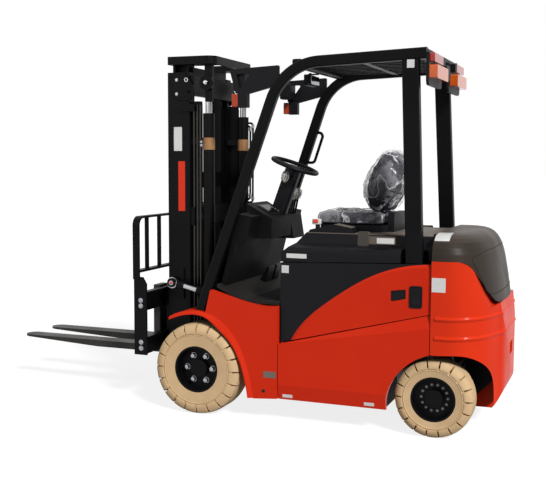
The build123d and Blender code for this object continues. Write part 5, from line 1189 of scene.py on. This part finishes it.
@dataclass
class Seat:
    """Cushion and back swollen by cloth simulation, with sewn channels and a film cover.

    Attributes:
        voxel_mm: edge of the even mesh.
        pressure: air pressure in the cloth.
        cap_mm: the most that a point may move.
        shrink_mm: how far the start shape is drawn in.
        crown_mm: how far the middle of the back stands proud.
        film_gap: nearest distance of the film from the vinyl.
        film_bulge: how far the film stands off the middle of the back.
        film_fold: height of the film's creases.
        fold_mm: spacing of the film's creases.
        film_low: height in metres under which there is no film.
        film_width: width in metres of the flat film; not used.
        middle_z: height of the back's fullest part.
        seam_y: distance of the long seams from the middle plane.
        seams_x, seams_z: the cross seams of the cushion and of the back.
    """

    voxel_mm: float = 7.0
    pressure: float = 4.0
    cap_mm: float = 10.0
    shrink_mm: float = 6.0
    crown_mm: float = 26.0
    film_gap: float = 2.5
    film_bulge: float = 16.0
    film_fold: float = 60.0
    fold_mm: float = 170.0
    film_low: float = 1.225
    film_width: float = 0.9
    middle_z: float = 1490.0
    seam_y: float = 128.0
    seams_x: Triple = (-840, -735, -640)
    seams_z: Triple = (1400, 1500, 1590)

    def build(self, frame: dict) -> None:
        """Builds both pads and the film.
        """
        pads = [self.swell(frame["nodes"][node]) for node in ("seat_cushion", "seat_back")]
        self.cover(pads)

    def swell(self, node: Object) -> Object:
        """Copies a seat solid, draws it in, remeshes it and lets pressure swell it.

        Args:
            node: the CAD solid's object.

        Returns:
            The pad, which replaces the solid.
        """
        mesh = node.data.copy()
        tidy(mesh)
        pad = link(node.name + "_vinyl", mesh)
        even = pad.modifiers.new("even", "REMESH")
        even.mode = "VOXEL"
        even.voxel_size = self.voxel_mm * MM
        bake(pad)
        start = read_points(pad.data)
        out = read_normals(pad.data)
        floor = start[:, 2].min()
        seated = (start[:, 2] < floor + 12) if node.name == "seat_cushion" else np.zeros(len(start), bool)
        drawn = start - self.shrink_mm * out
        write_points(pad.data, drawn)
        self.blow(pad)
        ended = read_points(pad.data)
        move = ended - drawn
        length = np.linalg.norm(move, axis=1, keepdims=True)
        move *= np.minimum(1.0, self.cap_mm / np.maximum(length, 1e-6))
        points = drawn + move
        points[:, 2] = np.where(seated, np.maximum(points[:, 2], floor), points[:, 2])
        if node.name == "seat_back":
            points += (self.crown_mm * np.exp(-(((points[:, 2] - self.middle_z) / 120) ** 2)))[:, None] * out
        write_points(pad.data, points - self.channels(points, node.name)[:, None] * out)
        smooth(pad.data, 80.0)
        pad.data.materials.clear()
        pad.data.materials.append(SEAT_VINYL.build())
        round_off = pad.modifiers.new("round_off", "SUBSURF")
        round_off.levels = round_off.render_levels = 1
        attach(pad, "hood")
        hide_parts(node.name)
        LOG.info("%s: %d points", pad.name, len(points))
        return pad

    def blow(self, pad: Object) -> None:
        """Runs the cloth for 20 frames under inner pressure, with no gravity, and keeps the result.

        Args:
            pad: the pad's object.
        """
        cloth = pad.modifiers.new("cloth", "CLOTH")
        cloth.settings.use_pressure = True
        cloth.settings.uniform_pressure_force = self.pressure
        cloth.settings.effector_weights.gravity = 0.0
        cloth.settings.quality = 5
        cloth.point_cache.frame_start = 1
        cloth.point_cache.frame_end = 20
        for step in range(1, 21):
            bpy.context.scene.frame_set(step)
        bake(pad)
        bpy.context.scene.frame_set(1)

    def channels(self, points: np.ndarray, name: str) -> np.ndarray:
        """Depth of the sewn channels: a bell curve across each seam line.

        Args:
            points: the pad's points in mm.
            name: the CAD solid's name.

        Returns:
            How far each point is drawn in, in mm.
        """
        wide = np.abs(points[:, 1])
        if name == "seat_cushion":
            along, seams = points[:, 0], self.seams_x
        else:
            along, seams = points[:, 2], self.seams_z
        lines = [np.abs(wide - self.seam_y)]
        lines += [np.where(wide < self.seam_y, np.abs(along - seam), 99) for seam in seams]
        near = np.minimum.reduce(lines)
        return 5.0 * np.exp(-((near / 9.0) ** 2))

    def cover(self, pads: list[Object]) -> None:
        """Lays clear film over both pads: each point moved out by a gap and by the folds' height.

        Args:
            pads: the swollen cushion and back.
        """
        film = bpy.data.meshes.new("seat_film")
        work = bmesh.new()
        for seed, pad in enumerate(pads):
            copy = pad.data.copy()
            points = read_points(copy)
            bag = self.film_bulge * np.exp(-(((points[:, 2] - self.middle_z) / 130) ** 2))
            lift = self.film_gap + bag + self.film_fold * folds(points, 7 + seed, self.fold_mm, 7) ** 1.5
            write_points(copy, points + lift[:, None] * read_normals(copy))
            work.from_mesh(copy)
        low = [f for f in work.faces if f.normal.z < -0.55 or f.calc_center_median().z < self.film_low]
        bmesh.ops.delete(work, geom=low, context="FACES")
        area = sum(f.calc_area() for f in work.faces)
        work.to_mesh(film)
        work.free()
        smooth(film, 50.0)
        film.materials.clear()
        film.materials.append(FILM.build())
        piece = link("seat_film", film)
        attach(piece, "hood")
        LOG.info("seat_film: %.2f m2", area)


@dataclass
class Studio:
    """Camera at the photograph's angle, pale floor, soft light.

    Attributes:
        focal_px: focal length in pixels of the photograph's frame.
        eye: the camera's place in metres.
        yaw, pitch, roll: the camera's turn in radians.
        floor_half: half the floor's side in metres.
        sky: strength of the world's light on the object.
        floor_glow: share of the floor's white that doesn't come from the lamps.
        key_energy, key_degrees, key_place: the sun's strength, its disc's width and its place.
        fill_watts, fill_size, fill_place: the fill's power, side in metres and place.
        aim: the point that both lamps look at.
    """

    focal_px: float = 931.8
    eye: Triple = (-2.382477, 5.795542, 1.603847)
    yaw: float = 0.369
    pitch: float = 0.092
    roll: float = 0.004
    floor_half: float = 90.0
    sky: float = 0.2
    floor_glow: float = 0.83
    key_energy: float = 3.8
    key_degrees: float = 11.0
    key_place: Triple = (-6.0, 5.0, 6.5)
    fill_watts: float = 70.0
    fill_size: float = 4.0
    fill_place: Triple = (4.5, 6.0, 4.0)
    aim: Triple = (0, 0, 0.9)

    def build_camera(self) -> None:
        """Makes the camera and sets it as the scene's own."""
        ahead = Vector((math.sin(self.yaw) * math.cos(self.pitch), -math.cos(self.yaw) * math.cos(self.pitch),
                        -math.sin(self.pitch)))
        right = ahead.cross(Vector((0, 0, 1))).normalized()
        up = right.cross(ahead)
        c, s = math.cos(self.roll), math.sin(self.roll)
        right, up = c * right + s * up, c * up - s * right
        data = bpy.data.cameras.new("camera")
        data.sensor_width = 36.0
        data.lens = self.focal_px / PHOTO_WIDTH * data.sensor_width
        data.clip_end = 200.0
        camera = link("camera", data)
        camera.matrix_world = Matrix((right, up, -ahead)).transposed().to_4x4()
        camera.location = self.eye
        bpy.context.scene.camera = camera

    def seen(self, tree: NodeTree) -> NodeSocket:
        """A factor of 1 for rays from the camera, through glass or off gloss.

        Args:
            tree: the node tree that it goes in.

        Returns:
            The factor's socket.
        """
        path = add_node(tree, "ShaderNodeLightPath")
        direct = add_node(tree, "ShaderNodeMath", {
            0: path.outputs["Is Camera Ray"], 1: path.outputs["Is Transmission Ray"]}, operation="MAXIMUM")
        return add_node(tree, "ShaderNodeMath", {
            0: direct.outputs[0], 1: path.outputs["Is Glossy Ray"]}, operation="MAXIMUM").outputs[0]

    def build_floor(self) -> None:
        """Makes the pale floor: matt white that keeps the shadow, with a glow that only shows to the eye."""
        h = self.floor_half
        mesh = bpy.data.meshes.new("floor")
        mesh.from_pydata([(-h, -h, 0), (h, -h, 0), (h, h, 0), (-h, h, 0)], [], [(0, 1, 2, 3)])
        material, tree = start_material("pale_floor_painted")
        matt = add_node(tree, "ShaderNodeBsdfDiffuse", {"Color": linear("8C8C8C")})
        glow = add_node(tree, "ShaderNodeEmission", {"Color": linear("FFFFFF"), "Strength": self.floor_glow})
        bright = add_node(tree, "ShaderNodeAddShader", {0: matt.outputs[0], 1: glow.outputs[0]})
        mix = add_node(tree, "ShaderNodeMixShader", {
            0: self.seen(tree), 1: matt.outputs[0], 2: bright.outputs[0]})
        add_node(tree, "ShaderNodeOutputMaterial", {"Surface": mix.outputs[0]})
        mesh.materials.append(material)
        link("floor", mesh)

    def build_light(self) -> None:
        """Makes a white world, a soft-edged key from the rear left above, and a weak fill from the front."""
        world = bpy.data.worlds.new("studio")
        bpy.context.scene.world = world
        world.use_nodes = True
        tree = world.node_tree
        tree.nodes.clear()
        light = add_node(tree, "ShaderNodeBackground", {"Color": linear("FFFFFF"), "Strength": self.sky})
        white = add_node(tree, "ShaderNodeBackground", {"Color": linear("FFFFFF"), "Strength": 1.0})
        mix = add_node(tree, "ShaderNodeMixShader", {
            0: self.seen(tree), 1: light.outputs[0], 2: white.outputs[0]})
        add_node(tree, "ShaderNodeOutputWorld", {"Surface": mix.outputs[0]})
        sun = bpy.data.lights.new("key", "SUN")
        sun.energy = self.key_energy
        sun.angle = math.radians(self.key_degrees)
        fill = bpy.data.lights.new("fill", "AREA")
        fill.size = self.fill_size
        fill.energy = self.fill_watts
        for data, place in ((sun, self.key_place), (fill, self.fill_place)):
            lamp = link(data.name, data)
            lamp.location = place
            lamp.rotation_euler = (Vector(self.aim) - Vector(place)).to_track_quat("-Z", "Y").to_euler()

    def build(self) -> None:
        """Sets the colour transform and makes the camera, floor and light."""
        bpy.context.scene.view_settings.view_transform = "Standard"
        self.build_camera()
        self.build_floor()
        self.build_light()


def dress_nodes(frame: dict) -> None:
    """Gives each CAD node its finish.
    """
    for finish, nodes in NODE_FINISH.items():
        material = finish.build()
        for name in nodes:
            mesh = frame["nodes"][name].data
            mesh.materials.clear()
            mesh.materials.append(material)


def paint_where(mesh: Mesh, finish: Finish, mask: np.ndarray) -> None:
    """Gives the chosen faces of a CAD node a second finish.

    Args:
        mesh: the node's mesh, which has one material so far.
        finish: the finish of the chosen faces.
        mask: true for each chosen face.
    """
    mesh.materials.append(finish.build())
    mesh.polygons.foreach_set("material_index", mask.astype(np.int32))
    mesh.update()


def paint_parts(frame: dict) -> None:
    """Paints the red parts' faces in the wheel wells and underneath black, as painted shade, and the hood's
    top paler: partly dusty, partly a painted sheen.
    """
    for name in ("counterweight", "side_panels", "front_fenders", "battery_hood"):
        mesh = frame["nodes"][name].data
        centre, out = np.empty(3 * len(mesh.polygons)), np.empty(3 * len(mesh.polygons))
        mesh.polygons.foreach_get("center", centre)
        mesh.polygons.foreach_get("normal", out)
        centre, out = centre.reshape(-1, 3) / MM, out.reshape(-1, 3)
        outward = np.sign(centre[:, 1]) * out[:, 1]
        if name == "counterweight":
            reach = centre[:, [0, 2]] - np.array([REAR_AXLE_X, STEER_RADIUS])
            inward = (reach * out[:, [0, 2]]).sum(axis=1) / np.linalg.norm(reach, axis=1) < -0.3
            within = (np.abs(centre[:, 1]) < 440) & (centre[:, 0] > -1570)
            # Faces round the rear wheel arches, and those between the wheels under 520 mm, painted black:
            # painted shade in the wheel wells
            paint_where(mesh, BLACK_POWDER, (centre[:, 2] < 520) & (inward | within))
        elif name in ("side_panels", "front_fenders"):
            # Faces that look inward or down painted black: painted shade inside the wheel wells and under the
            # body
            paint_where(mesh, BLACK_POWDER, (outward < -0.3) | (out[:, 2] < -0.5))
        else:
            # The hood's upward faces are painted paler: partly dusty, partly a painted sheen of the light
            # from above
            paint_where(mesh, DUSTY_SHEEN_MOULDED, (out[:, 2] > 0.75) & (centre[:, 2] > 1140))


def main() -> None:
    """Builds the whole scene."""
    logging.basicConfig(level=logging.INFO, format="%(message)s")
    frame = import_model()
    dress_nodes(frame)
    paint_parts(frame)
    for assembly in (Wheels(), MastFittings(), Tail(), BodyFittings(), Seat()):
        assembly.build(frame)
    Studio().build()


if __name__ == "__main__":
    main()
